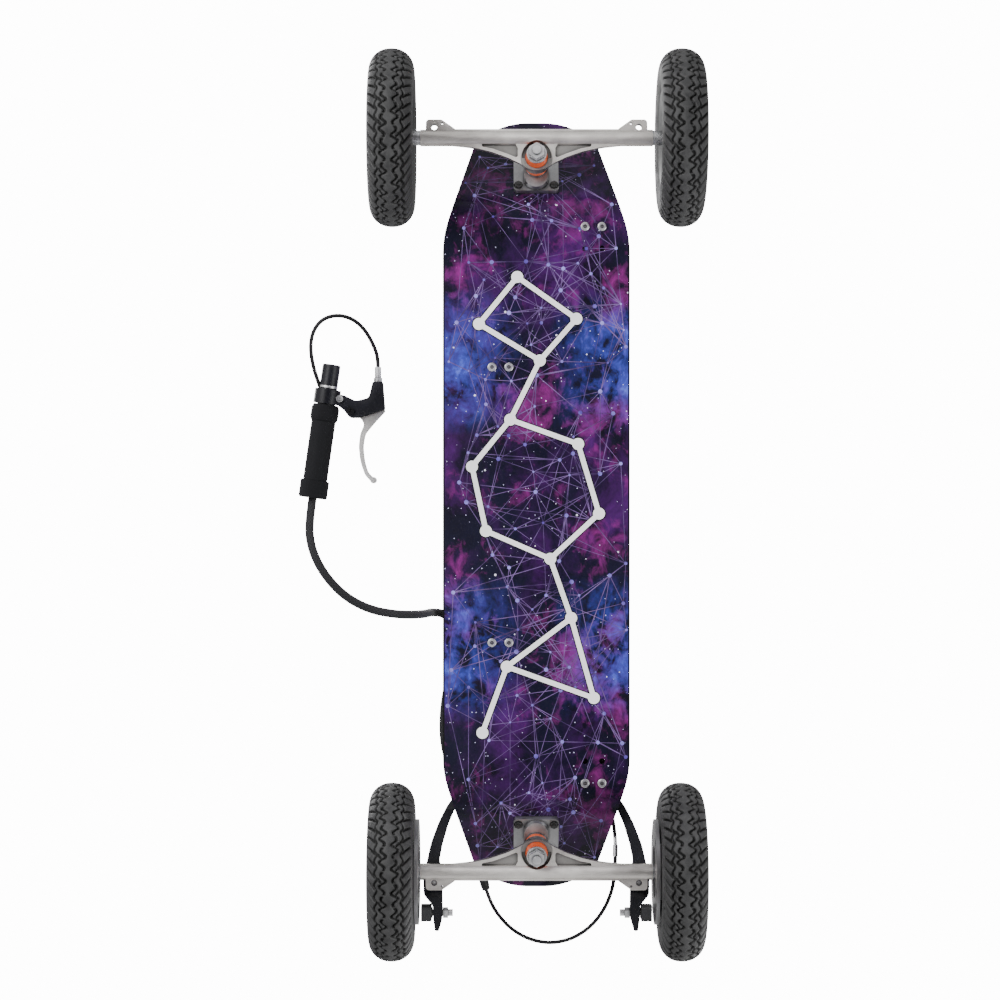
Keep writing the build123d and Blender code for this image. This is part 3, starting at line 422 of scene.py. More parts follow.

# %% [markdown]
# ## The printed deck
# The underside carries a glossy star-cloud print. The clouds are noise at three sizes, pushed towards
# blue in four patches near the edges, and a painted shadow darkens them towards black by the trucks.
# The side edges stay black.

# %% The print's clouds and stars
def star_clouds(name):
    f = Finish(name, Coat_Weight=0.3, Coat_Roughness=0.08, Specular_IOR_Level=0.06)
    x, y, z = f.parts(f.place())
    long = f.place((1.0, 1.35, 1.0))
    big = f.noise(7.0, 5.0, 0.62, long, 0.35)
    middle = f.noise(17.0, 6.0, 0.66, long, 0.5)
    wisps = f.noise(46.0, 5.0, 0.7, long, 0.6)
    rose = f.noise(11.0, 4.0, 0.6, f.place((1.1, 1.0, 1.0), (0.0, 0.0, 1.1)), 0.4)
    veil = f.ramp(middle * 0.6 + big * 0.4, (0.46, (0.004, 0.003, 0.009)), (0.68, (0.070, 0.010, 0.125)))
    night = f.mix(f.between(big, 0.40, 0.56, 0.0, 1.0), rgb(0.006, 0.006, 0.018), veil)
    glow = f.between(rose * 0.6 + wisps * 0.4, 0.52, 0.70, 0.0, 0.9)
    magenta = f.mix(glow, night, rgb(0.30, 0.022, 0.24))
    edge = f.between(abs(y), 0.015, 0.085, 0.0, 1.0)
    patch = f.between(abs(abs(x) - 0.165), 0.03, 0.085, 1.0, 0.0) * edge
    blue = patch * f.between(middle * 0.5 + wisps * 0.5, 0.42, 0.60, 0.0, 1.0)
    cool = f.mix(blue, magenta, rgb(0.050, 0.070, 0.46))
    haze = f.between(wisps * 0.5 + middle * 0.5, 0.55, 0.72, 0.0, 0.55) * patch
    bright = f.mix(haze, cool, rgb(0.22, 0.30, 0.85))
    # Painted shadow of the trucks and baseplates: the print darkens towards black near each truck.
    truck_shadow_mask = f.between(abs(x), 0.27, 0.34, 0.0, 0.35)
    truck_shadowed = f.mix(truck_shadow_mask * f.between(middle, 0.42, 0.6, 1.0, 0.3), bright, rgb(0.003, 0.003, 0.007))
    seed = f.cells(260.0, out=1)
    pick = f.parts(seed)[0]
    speck = f.cells(260.0).below(f.between(pick, 0.72, 1.0, 0.0, 0.20))
    big_pick = f.parts(f.cells(85.0, out=1))[1]
    dot = f.cells(85.0).below(f.between(big_pick, 0.72, 1.0, 0.0, 0.125))
    starry = f.mix(speck * 0.75, truck_shadowed, rgb(0.62, 0.60, 0.86))
    starry = f.mix(dot * 0.9, starry, rgb(0.80, 0.78, 0.92))
    facing = f.parts(f.add("ShaderNodeNewGeometry", out=1))[2]
    rim = f.between(abs(y), 0.1052, 0.1058, 0.0, 1.0).maths("MAXIMUM", facing.above(-0.5))
    f.feed(Base_Color=f.mix(rim, starry, rgb(0.004, 0.004, 0.005)))
    f.feed(Roughness=f.between(f.noise(90.0, 4.0), 0.35, 0.65, 0.26, 0.36))
    return f.bump(f.noise(240.0, 2.0), 0.00002).material


def ink(name, dark, light):
    """Printed ink, a little brighter in some stretches than in others."""
    f = Finish(name, Coat_Weight=0.3, Coat_Roughness=0.08, Specular_IOR_Level=0.1)
    drift = f.noise(26.0, 3.0, 0.6)
    tone = f.ramp(drift, (0.38, dark), (0.64, light))
    f.feed(Base_Color=tone)
    f.feed(Roughness=f.between(drift, 0.3, 0.7, 0.25, 0.35))
    return f.material


finishes.update(
    deck=star_clouds("star_cloud_print"),
    thread=ink("lilac_ink", (0.045, 0.026, 0.080), (0.18, 0.11, 0.28)),
    star=ink("star_ink", (0.085, 0.055, 0.30), (0.30, 0.26, 0.72)),
    white=ink("white_ink", (0.86, 0.86, 0.86), (0.93, 0.93, 0.93)),
    dark_ink=ink("black_ink", (0.003, 0.003, 0.004), (0.006, 0.006, 0.007)),
)
print("deck print:", len(finishes["deck"].node_tree.nodes), "nodes")

# %% [markdown]
# ## Give the CAD nodes their finishes
# The shapes of the metal and moulded parts are already right, so they keep their CAD meshes and only
# take a finish.

# %% CAD nodes and their finishes
WORN = {
    "cast": ["front_hanger", "rear_hanger"],
    "plate": ["front_baseplate", "rear_baseplate"],
    "steel": ["front_axle", "rear_axle", "cable_wire"],
    "noodle": ["cable_noodle"],
    "screws": ["lever_screws"],
    "zinc": ["kingpin_sets", "front_axle_nuts", "rear_axle_nuts", "brake_studs", "binding_bolts"]
    + ["left_pad_hardware", "right_pad_hardware", "barrel_adjuster"],
    "polished": ["brake_lever"],
    "disc": ["left_rotor", "right_rotor"],
    "black": ["handle_tube", "lever_bracket", "left_brake_arm", "right_brake_arm", "binding_brackets"],
    "urethane": ["front_bushings", "rear_bushings", "pivot_cups"],
    "bolt": ["truck_bolts"],
    "shoe": ["left_brake_pad", "right_brake_pad", "cable_boot"],
    "foam": ["foam_grip", "grip_collar"],
    "grip": ["grip_tape"],
    "deck": ["deck"],
}
wheel_places = {
    "front_left": (axle_x, 0.1655),
    "front_right": (axle_x, -0.1655),
    "rear_left": (-axle_x, 0.1655),
    "rear_right": (-axle_x, -0.1655),
}
for wheel in wheel_places:
    WORN["hub"] = WORN.get("hub", []) + [wheel + "_hub"]
    WORN["tube"] = WORN.get("tube", []) + [wheel + "_inner_tube"]
    WORN["zinc"] = WORN["zinc"] + [wheel + "_wheel_hardware"]


def wear(thing, material):
    thing.data.materials.clear()
    thing.data.materials.append(material)


for finish, names in WORN.items():
    for node in names:
        wear(nodes[node], finishes[finish])
print("finished CAD nodes:", sum(len(names) for names in WORN.values()))

# %% [markdown]
# ## Making a piece
# One helper turns points and faces into an object that rides on a body. Another closes a section that
# is carried along a line, which serves for cables, straps and printed lines alike.

# %% Helpers for pieces
def piece(name, points, faces, material, body, smooth=True):
    """A mesh object at the origin that rides on a body, or that is free where body is None."""
    mesh = bpy.data.meshes.new(name)
    mesh.from_pydata([tuple(p) for p in points], [], [tuple(f) for f in faces])
    mesh.update()
    mesh.materials.append(material)
    thing = bpy.data.objects.new(name, mesh)
    bpy.context.scene.collection.objects.link(thing)
    if smooth:
        mesh.polygons.foreach_set("use_smooth", [True] * len(mesh.polygons))
    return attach(thing, body) if body else thing


def loft(sections, close_ends=True):
    """Points and faces of a closed skin over equal rings of points."""
    count, around = len(sections), len(sections[0])
    points = [p for ring in sections for p in ring]
    faces = []
    for i in range(count - 1):
        for j in range(around):
            a, b = i * around + j, i * around + (j + 1) % around
            faces.append((a, b, b + around, a + around))
    if close_ends:
        faces.append(tuple(reversed(range(around))))
        faces.append(tuple(range((count - 1) * around, count * around)))
    return points, faces


def outward(thing):
    """Turns a closed mesh's faces outwards."""
    work = bmesh.new()
    work.from_mesh(thing.data)
    bmesh.ops.recalc_face_normals(work, faces=work.faces)
    work.to_mesh(thing.data)
    work.free()
    return thing


print("helpers ready")

# %% [markdown]
# ## Cables and the leash
# A cable is a smooth line, so its route is a NURBS curve through a few guide points. We read the line
# back from the curve and carry a round section along it, turning the section as little as possible.
# The leash is a woven sleeve over the brake cable, from the handle across the deck to the tail.

# %% Routes of the three cords
lever_cable_route = [
    (153.6, -177.5, 16.0), (164.5, -177.5, 16.0), (179.0, -182.8, 13.0), (194.5, -191.5, 10.0),
    (206.4, -204.5, 7.5), (211.0, -221.2, 5.5), (206.8, -238.0, 5.5), (194.5, -248.6, 7.0),
    (177.3, -252.6, 9.5), (155.6, -250.0, 13.0), (134.5, -243.2, 15.0), (119.0, -237.2, 16.0),
]
leash_route = [
    (7.7, -250.3, 16.0), (-13.0, -253.28, 16.0), (-36.0, -253.8, 12.5), (-60.0, -246.5, 7.5),
    (-83.0, -232.0, 5.5), (-103.0, -211.5, 5.3), (-116.0, -186.0, 6.5), (-121.5, -159.0, 15.0),
    (-123.0, -140.0, 36.0), (-123.5, -129.5, 66.0), (-124.0, -124.5, 98.0), (-124.0, -122.0, 127.0),
    (-125.5, -107.5, 144.5), (-138.0, -94.5, 152.5), (-160.0, -90.5, 153.0), (-188.0, -97.0, 146.0),
    (-220.0, -105.0, 136.5), (-258.0, -108.3, 132.2), (-290.0, -104.0, 132.2), (-316.0, -93.0, 133.2),
    (-337.0, -82.5, 137.2), (-362.0, -75.0, 153.2), (-388.0, -71.0, 171.5), (-412.0, -67.5, 188.5),
    (-435.0, -64.0, 206.0), (-456.0, -58.4, 212.5),
]
brake_cable_route = [
    (-456.2, -58.34, 212.56), (-470.5, -54.05, 217.05), (-486.5, -44.5, 212.0), (-501.5, -29.0, 200.0),
    (-511.5, -8.0, 186.0), (-514.0, 16.0, 172.0), (-507.5, 40.5, 160.0), (-492.5, 62.5, 151.0),
    (-471.5, 78.5, 144.5), (-448.5, 88.0, 140.0), (-426.0, 91.52, 139.35), (-408.3, 91.99, 143.43),
]


def smooth_line(route):
    """Points along the NURBS curve that a route guides."""
    curve = bpy.data.curves.new("route", "CURVE")
    curve.dimensions, curve.resolution_u = "3D", 14
    spline = curve.splines.new("NURBS")
    spline.points.add(len(route) - 1)
    for guide, (x, y, z) in zip(spline.points, route):
        guide.co = (x * mm, y * mm, z * mm, 1)
    spline.order_u = 3
    spline.use_endpoint_u = True
    thing = bpy.data.objects.new("route", curve)
    bpy.context.scene.collection.objects.link(thing)
    graph = bpy.context.evaluated_depsgraph_get()
    line = bpy.data.meshes.new_from_object(thing.evaluated_get(graph))
    points = [v.co.copy() for v in line.vertices]
    bpy.data.objects.remove(thing)
    return points


def line_length(points):
    return sum((b - a).length for a, b in zip(points, points[1:]))


def tube(name, points, radius, material, body, sides=20, bulge=None):
    """A round skin along a line, with a UV map: round it once, and along it in metres."""
    side = (points[1] - points[0]).normalized().orthogonal().normalized()
    rings, run, runs = [], 0.0, []
    for i, p in enumerate(points):
        ahead = points[min(i + 1, len(points) - 1)] - points[max(i - 1, 0)]
        ahead.normalize()
        side = (side - ahead * side.dot(ahead)).normalized()
        other = ahead.cross(side)
        run += (p - points[i - 1]).length if i else 0.0
        runs.append(run)
        r = radius * (bulge(run) if bulge else 1.0)
        turns = [2 * math.pi * j / sides for j in range(sides)]
        rings.append([p + side * (r * math.cos(t)) + other * (r * math.sin(t)) for t in turns])
    corners, faces = loft(rings)
    thing = piece(name, corners, faces, material, body)
    uv = thing.data.uv_layers.new(name="along").data
    for face in thing.data.polygons:
        first = min(v % sides for v in face.vertices)
        seam = max(v % sides for v in face.vertices) - first > 1
        for corner, v in zip(face.loop_indices, face.vertices):
            j = v % sides
            turn = sides if seam and j == 0 and len(face.vertices) == 4 else j
            uv[corner].uv = (turn / sides, runs[v // sides])
    return outward(thing)


# %% The woven sleeve's finish
def braid(name, strands, pitch, dark, light, depth):
    """Flat strands that cross at a slant, over and under, on a UV map."""
    f = Finish(name, Specular_IOR_Level=0.35, Sheen_Weight=0.15, Sheen_Roughness=0.4)
    u, v, w = f.parts(f.add("ShaderNodeUVMap", {"uv_map": "along"}))
    left = ((u * strands + v / pitch) * (2 * math.pi)).maths("SINE")
    right = ((u * strands - v / pitch) * (2 * math.pi)).maths("SINE")
    weave = left.maths("MAXIMUM", right) * 0.5 + 0.5
    hair = f.noise(1600.0, 2.0)
    # Painted shade: the colour darkens in the hollows between the strands, following the weave's relief; fine
    # hairs vary it at random.
    f.feed(Base_Color=f.ramp(weave * 0.8 + hair * 0.2, (0.25, dark), (0.9, light)))
    f.feed(Roughness=f.between(hair, 0.3, 0.7, 0.7, 0.9))
    return f.bump(weave, depth).material


finishes["sleeve"] = braid("woven_sleeve", 8.0, 0.0045, (0.002, 0.002, 0.003), (0.016, 0.016, 0.019), 0.0004)

# %% The three cords
def cord(name, route, radius, finish, bends=None):
    """A cord that rides on the board, or that rides on no body where bends is given."""
    line = smooth_line(route)
    thing = tube(name, line, radius, finishes[finish], None if bends else "board")
    if bends:
        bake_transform(thing)
    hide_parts(name.replace("_skin", ""))
    print(name, "line", round(line_length(line), 4), "m")


leash_line = smooth_line(leash_route)
leash_end, leash_back = leash_line[-1], (leash_line[-4] - leash_line[-1]).normalized()
collar_line = [leash_end + leash_back * (0.014 - 0.001 * i) for i in range(14)]
leash_collar = tube(
    "leash_end_collar", collar_line, 0.0053, finishes["cable"], "board",
    bulge=lambda run: 1.0 - 0.14 * max(0.0, (run - 0.009) / 0.004),
)
cord("leash_sleeve_skin", leash_route, 0.00475, "sleeve")
cord("lever_cable_skin", lever_cable_route, 0.00225, "cable")
cord(
    "brake_cable_skin", brake_cable_route, 0.00225, "cable",
    bends=("rear_truck", (-0.506, -0.020, 0.192), (-0.445, 0.089, 0.140)),
)

# %% [markdown]
# ## Tyres
# Each tyre is a smooth carcass with a moulded tread: a solid rib in the middle, two wavy grooves beside
# it, hooked blocks on the shoulders and small lugs at the sides. The tread repeats 23 times around, so we
# shape one stretch of it and let Geometry Nodes turn copies about the axle.

# %% One stretch of tread
tyre_r, tyre_half, crown_r, tread_count = 0.1015, 0.026, 0.0265, 23
stretch = 2 * math.pi * tyre_r / tread_count


def skin_point(turn):
    """Radius and side distance on the carcass, at an angle from the crown, with its outward direction."""
    power = 2 / 2.2
    c, s = math.cos(turn), math.sin(turn)
    up = math.copysign(abs(c) ** power, c)
    out = math.copysign(abs(s) ** power, s)
    return tyre_r - crown_r + crown_r * up, tyre_half * out, c, s


def groove(distance, half, depth):
    """How far a groove's floor lies below the skin, at a distance from its middle line."""
    return depth * float(np.clip((half - abs(distance)) / (0.42 * half), 0, 1))


def tread_depth(along, across):
    """Depth of the tread pattern, along the tyre (0 to 1 over a stretch) and across it in metres."""
    side = 1 if across > 0 else -1
    a = (along + (0.5 if side > 0 else 0.0)) % 1.0
    out = abs(across)
    swing = 0.0030 * math.sin(2 * math.pi * 2 * a) * (1.0 - 0.45 * math.cos(2 * math.pi * a))
    slope = abs(math.cos(2 * math.pi * 2 * a))
    inner = groove(out - 0.0070 - swing, 0.0018 + 0.0005 * slope, 0.0030)
    inner *= 0.25 if 0.93 < a or a < 0.03 else 1.0
    bar = (a * 1.0 + (out - 0.0068) / 0.030) % 1.0
    cross = groove((bar - 0.5) * stretch, 0.0019, 0.0026) if 0.0078 < out < 0.0155 else 0.0
    hook_line = 0.0158 + 0.0016 * math.sin(2 * math.pi * 2 * a + 0.9)
    hook = groove(out - hook_line, 0.0016, 0.0026)
    lug = (a * 2.0 + (out - 0.016) / 0.016) % 1.0
    between = groove((lug - 0.5) * stretch / 2, 0.0021, 0.0028) if 0.0165 < out < 0.0315 else 0.0
    pit_a, pit_out = (a - 0.30) * stretch, out - 0.0118
    pit = 0.0016 * float(np.clip(1.6 - math.hypot(pit_a / 0.0011, pit_out / 0.0016), 0, 1))
    return max(inner, cross, hook, between, pit)


def tread_stretch():
    """A mesh of one stretch of the outer skin, with the depth kept as an attribute."""
    fine = list(np.linspace(-1.42, 1.42, 87))
    turns = [-2.33, -2.2, -2.0, -1.8, -1.65, -1.53] + fine + [1.53, 1.65, 1.8, 2.0, 2.2, 2.33]
    steps = 26
    arc = [0.0]
    places = [skin_point(t) for t in turns]
    for a, b in zip(places, places[1:]):
        arc.append(arc[-1] + math.hypot(b[0] - a[0], b[1] - a[1]))
    middle = arc[len(arc) // 2]
    points, depths = [], []
    for i in range(steps + 1):
        angle = 2 * math.pi / tread_count * i / steps
        for j, (r, y, up, out) in enumerate(places):
            depth = tread_depth(i / steps, arc[j] - middle) if 5 < j < len(turns) - 6 else 0.0
            rr, yy = r - depth * up, y - depth * out
            points.append((rr * math.sin(angle), yy, rr * math.cos(angle)))
            depths.append(depth / 0.003)
    row = len(turns)
    faces = []
    for i in range(steps):
        for j in range(row - 1):
            a = i * row + j
            faces.append((a, a + row, a + row + 1, a + 1))
    return points, faces, depths


stretch_points, stretch_faces, stretch_depths = tread_stretch()
print("one stretch:", len(stretch_faces), "faces,", round(stretch / mm, 1), "mm long")


# %% Turn the stretch around the axle
class Tree:
    """A Geometry Nodes group with named inputs."""

    def __init__(self, name, **inputs):
        self.group = bpy.data.node_groups.new(name, "GeometryNodeTree")
        face = self.group.interface
        face.new_socket("Geometry", in_out="OUTPUT", socket_type="NodeSocketGeometry")
        face.new_socket("Geometry", in_out="INPUT", socket_type="NodeSocketGeometry")
        for label, kind in inputs.items():
            face.new_socket(label, in_out="INPUT", socket_type="NodeSocket" + kind)
        self.start = self.group.nodes.new("NodeGroupInput")
        self.end = self.group.nodes.new("NodeGroupOutput")

    def given(self, label):
        return self.start.outputs[label]

    def add(self, kind, settings=None, **inputs):
        node = self.group.nodes.new(kind)
        for key, value in (settings or {}).items():
            setattr(node, key, value)
        for key, value in inputs.items():
            socket = node.inputs[int(key[1:])] if key[0] == "_" else node.inputs[key.replace("_", " ")]
            if isinstance(value, bpy.types.NodeSocket):
                self.group.links.new(value, socket)
            else:
                socket.default_value = value
        return node.outputs[0]

    def finish(self, geometry):
        whole = self.add("GeometryNodeRealizeInstances", Geometry=geometry)
        painted = self.add("GeometryNodeSetMaterial", Geometry=whole, Material=self.given("Finish"))
        self.group.links.new(painted, self.end.inputs[0])
        return self.group


def grown(base, group, **values):
    """Runs a group on a mesh object with the given inputs, and returns the plain mesh."""
    step = base.modifiers.new("grow", "NODES")
    step.node_group = group
    sockets = {s.name: s.identifier for s in group.interface.items_tree if s.in_out == "INPUT"}
    for label, value in values.items():
        step[sockets[label]] = value
    graph = bpy.context.evaluated_depsgraph_get()
    mesh = bpy.data.meshes.new_from_object(base.evaluated_get(graph))
    base.modifiers.remove(step)
    return mesh


def around_axle():
    """Copies of a stretch, turned about the axle and joined."""
    tree = Tree("around_axle", Copies="Int", Finish="Material")
    points = tree.add("GeometryNodePoints", Count=tree.given("Copies"))
    index = tree.add("GeometryNodeInputIndex")
    step = tree.add("ShaderNodeMath", {"operation": "DIVIDE"}, _0=2 * math.pi, _1=tree.given("Copies"))
    turn = tree.add("ShaderNodeMath", {"operation": "MULTIPLY"}, _0=index, _1=step)
    axis = tree.add("ShaderNodeCombineXYZ", Y=turn)
    stretch_mesh = tree.given("Geometry")
    copies = tree.add("GeometryNodeInstanceOnPoints", Points=points, Instance=stretch_mesh, Rotation=axis)
    whole = tree.add("GeometryNodeRealizeInstances", Geometry=copies)
    joined = tree.add("GeometryNodeMergeByDistance", Geometry=whole, Distance=0.00002)
    return tree.finish(joined)


def tyre_inside():
    """The unseen inner skin and the beads, as rings from one edge of the outer skin to the other."""
    bead = [skin_point(-2.33)[:2], (0.0532, -0.0188), (0.0483, -0.0184), (0.0483, -0.0128)]
    half = bead + [(0.060, -0.0135), (0.075, -0.0200), (0.090, -0.0130)]
    return half + [(0.0952, 0.0)] + [(r, -y) for r, y in reversed(half)]


def make_tyre_mesh():
    base = piece("tread_pattern", stretch_points, stretch_faces, finishes["tyre"], "board")
    depth = base.data.attributes.new("depth", "FLOAT", "POINT")
    depth.data.foreach_set("value", stretch_depths)
    mesh = grown(base, around_axle(), Copies=tread_count, Finish=finishes["tyre"])
    bpy.data.objects.remove(base)
    return mesh


tread_mesh = make_tyre_mesh()
print("tread mesh:", len(tread_mesh.polygons), "faces")


def tyre(name, x, y, body):
    """The tread and the inner skin as one closed ring, put at its wheel."""
    work = bmesh.new()
    work.from_mesh(tread_mesh)
    count = tread_count * 26
    section = tyre_inside()
    rings = []
    for i in range(count):
        angle = 2 * math.pi * i / count
        rings.append([work.verts.new((r * math.sin(angle), yy, r * math.cos(angle))) for r, yy in section])
    for i in range(count):
        one, two = rings[i], rings[(i + 1) % count]
        for j in range(len(section) - 1):
            work.faces.new((one[j], two[j], two[j + 1], one[j + 1]))
    bmesh.ops.remove_doubles(work, verts=work.verts, dist=0.00004)
    bmesh.ops.recalc_face_normals(work, faces=work.faces)
    for face in work.faces:
        face.smooth = True
    bmesh.ops.translate(work, verts=work.verts, vec=(x, y, axle_z))
    mesh = bpy.data.meshes.new(name)
    work.to_mesh(mesh)
    work.free()
    mesh.materials.append(finishes["tyre"])
    thing = bpy.data.objects.new(name, mesh)
    bpy.context.scene.collection.objects.link(thing)
    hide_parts(name.replace("_tread", ""))
    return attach(thing, body)


for wheel, (x, y) in wheel_places.items():
    made = tyre(wheel + "_tyre_tread", x, y, wheel + "_wheel")
print("tyre:", len(made.data.polygons), "faces each")

# %% [markdown]
# ## The print's lines
# Over the clouds runs a net of thin lilac lines with small dots where they meet, and one bold white
# figure of lines and dots. Each is a very thin film of ink that lies on the deck and follows its bends.
# The net's points come from a fixed seed, and each is joined to its nearest neighbours.

# %% A place on the deck's underside
kick_x, kick_angle, bend_r = 0.339, math.radians(35), 0.051
bend_from = bend_r * math.tan(kick_angle / 2)


def under_deck(x, y, sink=0.0):
    """The point of the underside at x and y, moved out of the board by sink."""
    away = abs(x) - kick_x
    if away < -bend_from:
        z, slope = deck_z, 0.0
    elif away > bend_from * math.cos(kick_angle):
        z, slope = deck_z + away * math.tan(kick_angle), kick_angle
    else:
        slope = math.asin((away + bend_from) / bend_r)
        z = deck_z + bend_r * (1 - math.cos(slope))
    side = math.copysign(1, x)
    return Vector((x + side * sink * math.sin(slope), y, z - sink * math.cos(slope)))


def ribbon(a, b, half, sink):
    """A thin closed film between two places, in sections short enough to follow the bends."""
    a, b = Vector(a), Vector(b)
    along = (b - a).normalized()
    side = Vector((-along.y, along.x)) * half
    near_bend = max(abs(a.x), abs(b.x)) > kick_x - bend_from
    count = max(1, math.ceil((b - a).length / (0.006 if near_bend else 1.0)))
    rings = []
    for i in range(count + 1):
        p = a.lerp(b, i / count)
        left, right = p + side, p - side
        corners = [(left, sink), (right, sink), (right, -0.0002), (left, -0.0002)]
        rings.append([under_deck(q.x, q.y, s) for q, s in corners])
    return loft(rings)


def dot(place, radius, sink, sides=20):
    """A thin closed round film."""
    low, high = [], []
    for i in range(sides):
        t = 2 * math.pi * i / sides
        x, y = place[0] + radius * math.cos(t), place[1] + radius * math.sin(t)
        low.append(under_deck(x, y, sink))
        high.append(under_deck(x, y, -0.0002))
    return loft([low, high])


def merged(parts):
    points, faces = [], []
    for corners, sides in parts:
        start = len(points)
        points += corners
        faces += [tuple(start + i for i in side) for side in sides]
    return points, faces


def film(name, parts, finish):
    points, faces = merged(parts)
    return outward(piece(name, points, faces, finishes[finish], "board", smooth=False))


# %% The lilac net
def half_width(x):
    """Half the deck's width that the print covers, at a distance along it."""
    return 0.104 if abs(x) < 0.306 else 0.104 - (abs(x) - 0.306) * 0.30


rng = np.random.default_rng(23)
stars = []
while len(stars) < 150:
    x = rng.uniform(-0.425, 0.425)
    y = rng.uniform(-1, 1) * half_width(x)
    if all(math.hypot(x - a, y - b) > 0.016 for a, b in stars):
        stars.append((x, y))
near = set()
for i, (x, y) in enumerate(stars):
    order = sorted(range(len(stars)), key=lambda j: math.hypot(stars[j][0] - x, stars[j][1] - y))
    for j in order[1:4]:
        near.add((min(i, j), max(i, j)))
    for j in rng.choice(order[5:26], 2, replace=False):
        near.add((min(i, int(j)), max(i, int(j))))
net = []
for i, j in sorted(near):
    net.append(ribbon(stars[i], stars[j], rng.uniform(0.00022, 0.00045), rng.uniform(0.00004, 0.00007)))
film("print_net", net, "thread")
film("print_stars", [dot(s, rng.uniform(0.0011, 0.0026), 0.00008, 14) for s in stars], "star")
print("net:", len(stars), "dots,", len(near), "lines")

# %% The white figure
figure_dots = [
    (0.262, -0.022), (0.214, 0.046), (0.166, 0.004), (0.208, -0.066), (0.098, -0.030), (0.070, 0.048),
    (-0.010, 0.072), (-0.062, 0.016), (-0.030, -0.058), (0.044, -0.074), (-0.130, 0.040), (-0.222, 0.066),
    (-0.186, -0.034), (-0.262, -0.062),
]
figure_lines = [(0, 1), (1, 2), (2, 3), (3, 0), (2, 4), (4, 5), (5, 6), (6, 7), (7, 8), (8, 9), (9, 4)]
figure_lines += [(7, 10), (10, 11), (11, 12), (12, 10), (12, 13)]
rim_film = [ribbon(figure_dots[a], figure_dots[b], 0.0040, 0.00010) for a, b in figure_lines]
rim_film += [dot(p, 0.0081, 0.00010, 28) for p in figure_dots]
bold_film = [ribbon(figure_dots[a], figure_dots[b], 0.0029, 0.00016) for a, b in figure_lines]
bold_film += [dot(p, 0.0069, 0.00018, 28) for p in figure_dots]
film("print_figure_rim", rim_film, "dark_ink")
film("print_figure", bold_film, "white")
print("figure:", len(figure_dots), "dots")

# %% [markdown]
# ## Foot pads and foot straps
# Each foot stands on a foam sole pad under a padded strap. The strap is an arch of two cloth skins over
# foam, pulled in along its sewn channels and pinched flat at the ends, where it is bolted to its bracket.
# A strip of webbing runs over it, sewn down with two rows of stitches.

# %% Places of the two bindings
front_anchor_pair = ((0.3199, 0.0657), (0.1584, -0.0413))
strap_span, strap_rise, strap_foot = 0.0772, 0.083, 0.1304


def binding_place(side):
    """The middle of a binding and its direction, from the nose (1) or the tail (-1)."""
    (x0, y0), (x1, y1) = front_anchor_pair
    turn = math.atan2(y0 - y1, side * (x0 - x1))
    return Matrix.Translation((side * (x0 + x1) / 2, (y0 + y1) / 2, 0)) @ Matrix.Rotation(turn, 4, "Z")


# %% Cloth finish
def webbing(name, dark, light, rib, depth):
    """Woven nylon: ribs along one way of the UV map and threads along the other."""
    f = Finish(name, Specular_IOR_Level=0.3, Sheen_Weight=0.2, Sheen_Roughness=0.5)
    u, v, w = f.parts(f.add("ShaderNodeUVMap", {"uv_map": "along"}))
    weave = u.wave(rib) * v.wave(rib * 0.72) * 0.5 + 0.5
    fluff, fade = f.noise(1900.0, 2.0), f.noise(38.0, 3.0)
    # Painted shade: the colour darkens in the furrows between ribs, following the weave's relief; fluff and
    # fade vary it at random.
    f.feed(Base_Color=f.ramp(weave * 0.5 + fluff * 0.2 + fade * 0.3, (0.25, dark), (0.8, light)))
    f.feed(Roughness=f.between(fade, 0.3, 0.7, 0.75, 0.92))
    return f.bump(weave, depth).material


finishes.update(
    cloth=webbing("strap_cloth", (0.010, 0.010, 0.012), (0.034, 0.034, 0.038), 0.0014, 0.00020),
    web=webbing("strap_webbing", (0.004, 0.004, 0.005), (0.018, 0.018, 0.021), 0.0024, 0.00035),
    yarn=moulded("grey_yarn", (0.20, 0.20, 0.21), (0.34, 0.34, 0.35), 0.8, 1500, 0.00005),
)


# %% The padded arch
def arch(turn, lift, rise=0.0):
    """A place on the arch and its outward direction, at an angle from its left foot."""
    c, s = math.cos(math.pi - turn), math.sin(math.pi - turn)
    out = Vector((c / strap_span, 0, s / strap_rise)).normalized()
    base = Vector((strap_span * c, 0, strap_foot + rise + strap_rise * s))
    return base + out * lift, out


def arch_band(name, place, half_wide, low, high, finish, start=0.0, end=1.0, steps=96, across=29):
    """A closed band over the arch. low and high give its two skins' heights from -1 to 1 across."""
    rings = []
    for i in range(steps + 1):
        t = start + (end - start) * i / steps
        over, under = [], []
        for j in range(across):
            w = -1 + 2 * j / (across - 1)
            side = Vector((0, w * half_wide(t), 0))
            over.append(place @ (arch(math.pi * t, high(t, w))[0] + side))
            under.append(place @ (arch(math.pi * t, low(t, w))[0] + side))
        rings.append(over + under[::-1])
    points, faces = loft(rings)
    thing = piece(name, points, faces, finishes[finish], "board")
    around = 2 * across
    uv = thing.data.uv_layers.new(name="along").data
    for face in thing.data.polygons:
        for corner, v in zip(face.loop_indices, face.vertices):
            j = v % around
            j = j if j < across else around - 1 - j
            uv[corner].uv = (0.062 * j / across, 0.25 * (v // around) / steps)
    return outward(thing)


def pinch(t):
    """How full the padding is along the arch: flat at the ends."""
    return min(1.0, max(0.0, (min(t, 1 - t) - 0.015) / 0.10)) ** 0.6


def padding(t, w):
    """Half the padding's thickness: crowned, sewn flat along two channels and in short cross channels."""
    crown = max(0.0, 1 - abs(w) ** 4.0) ** 0.5
    channels = sum(math.exp(-(((w - c) / 0.045) ** 2)) for c in (-0.66, 0.66))
    cross = sum(math.exp(-(((t - c) / 0.008) ** 2)) for c in (0.2, 0.35, 0.5, 0.65, 0.8))
    sewn = 1 - 0.42 * min(1.0, channels + cross * (1.0 if abs(w) < 0.66 else 0.0))
    return 0.0006 + 0.0043 * crown * sewn * (0.25 + 0.75 * pinch(t))


def strap_width(t):
    return 0.0315 * (0.78 + 0.22 * pinch(t))


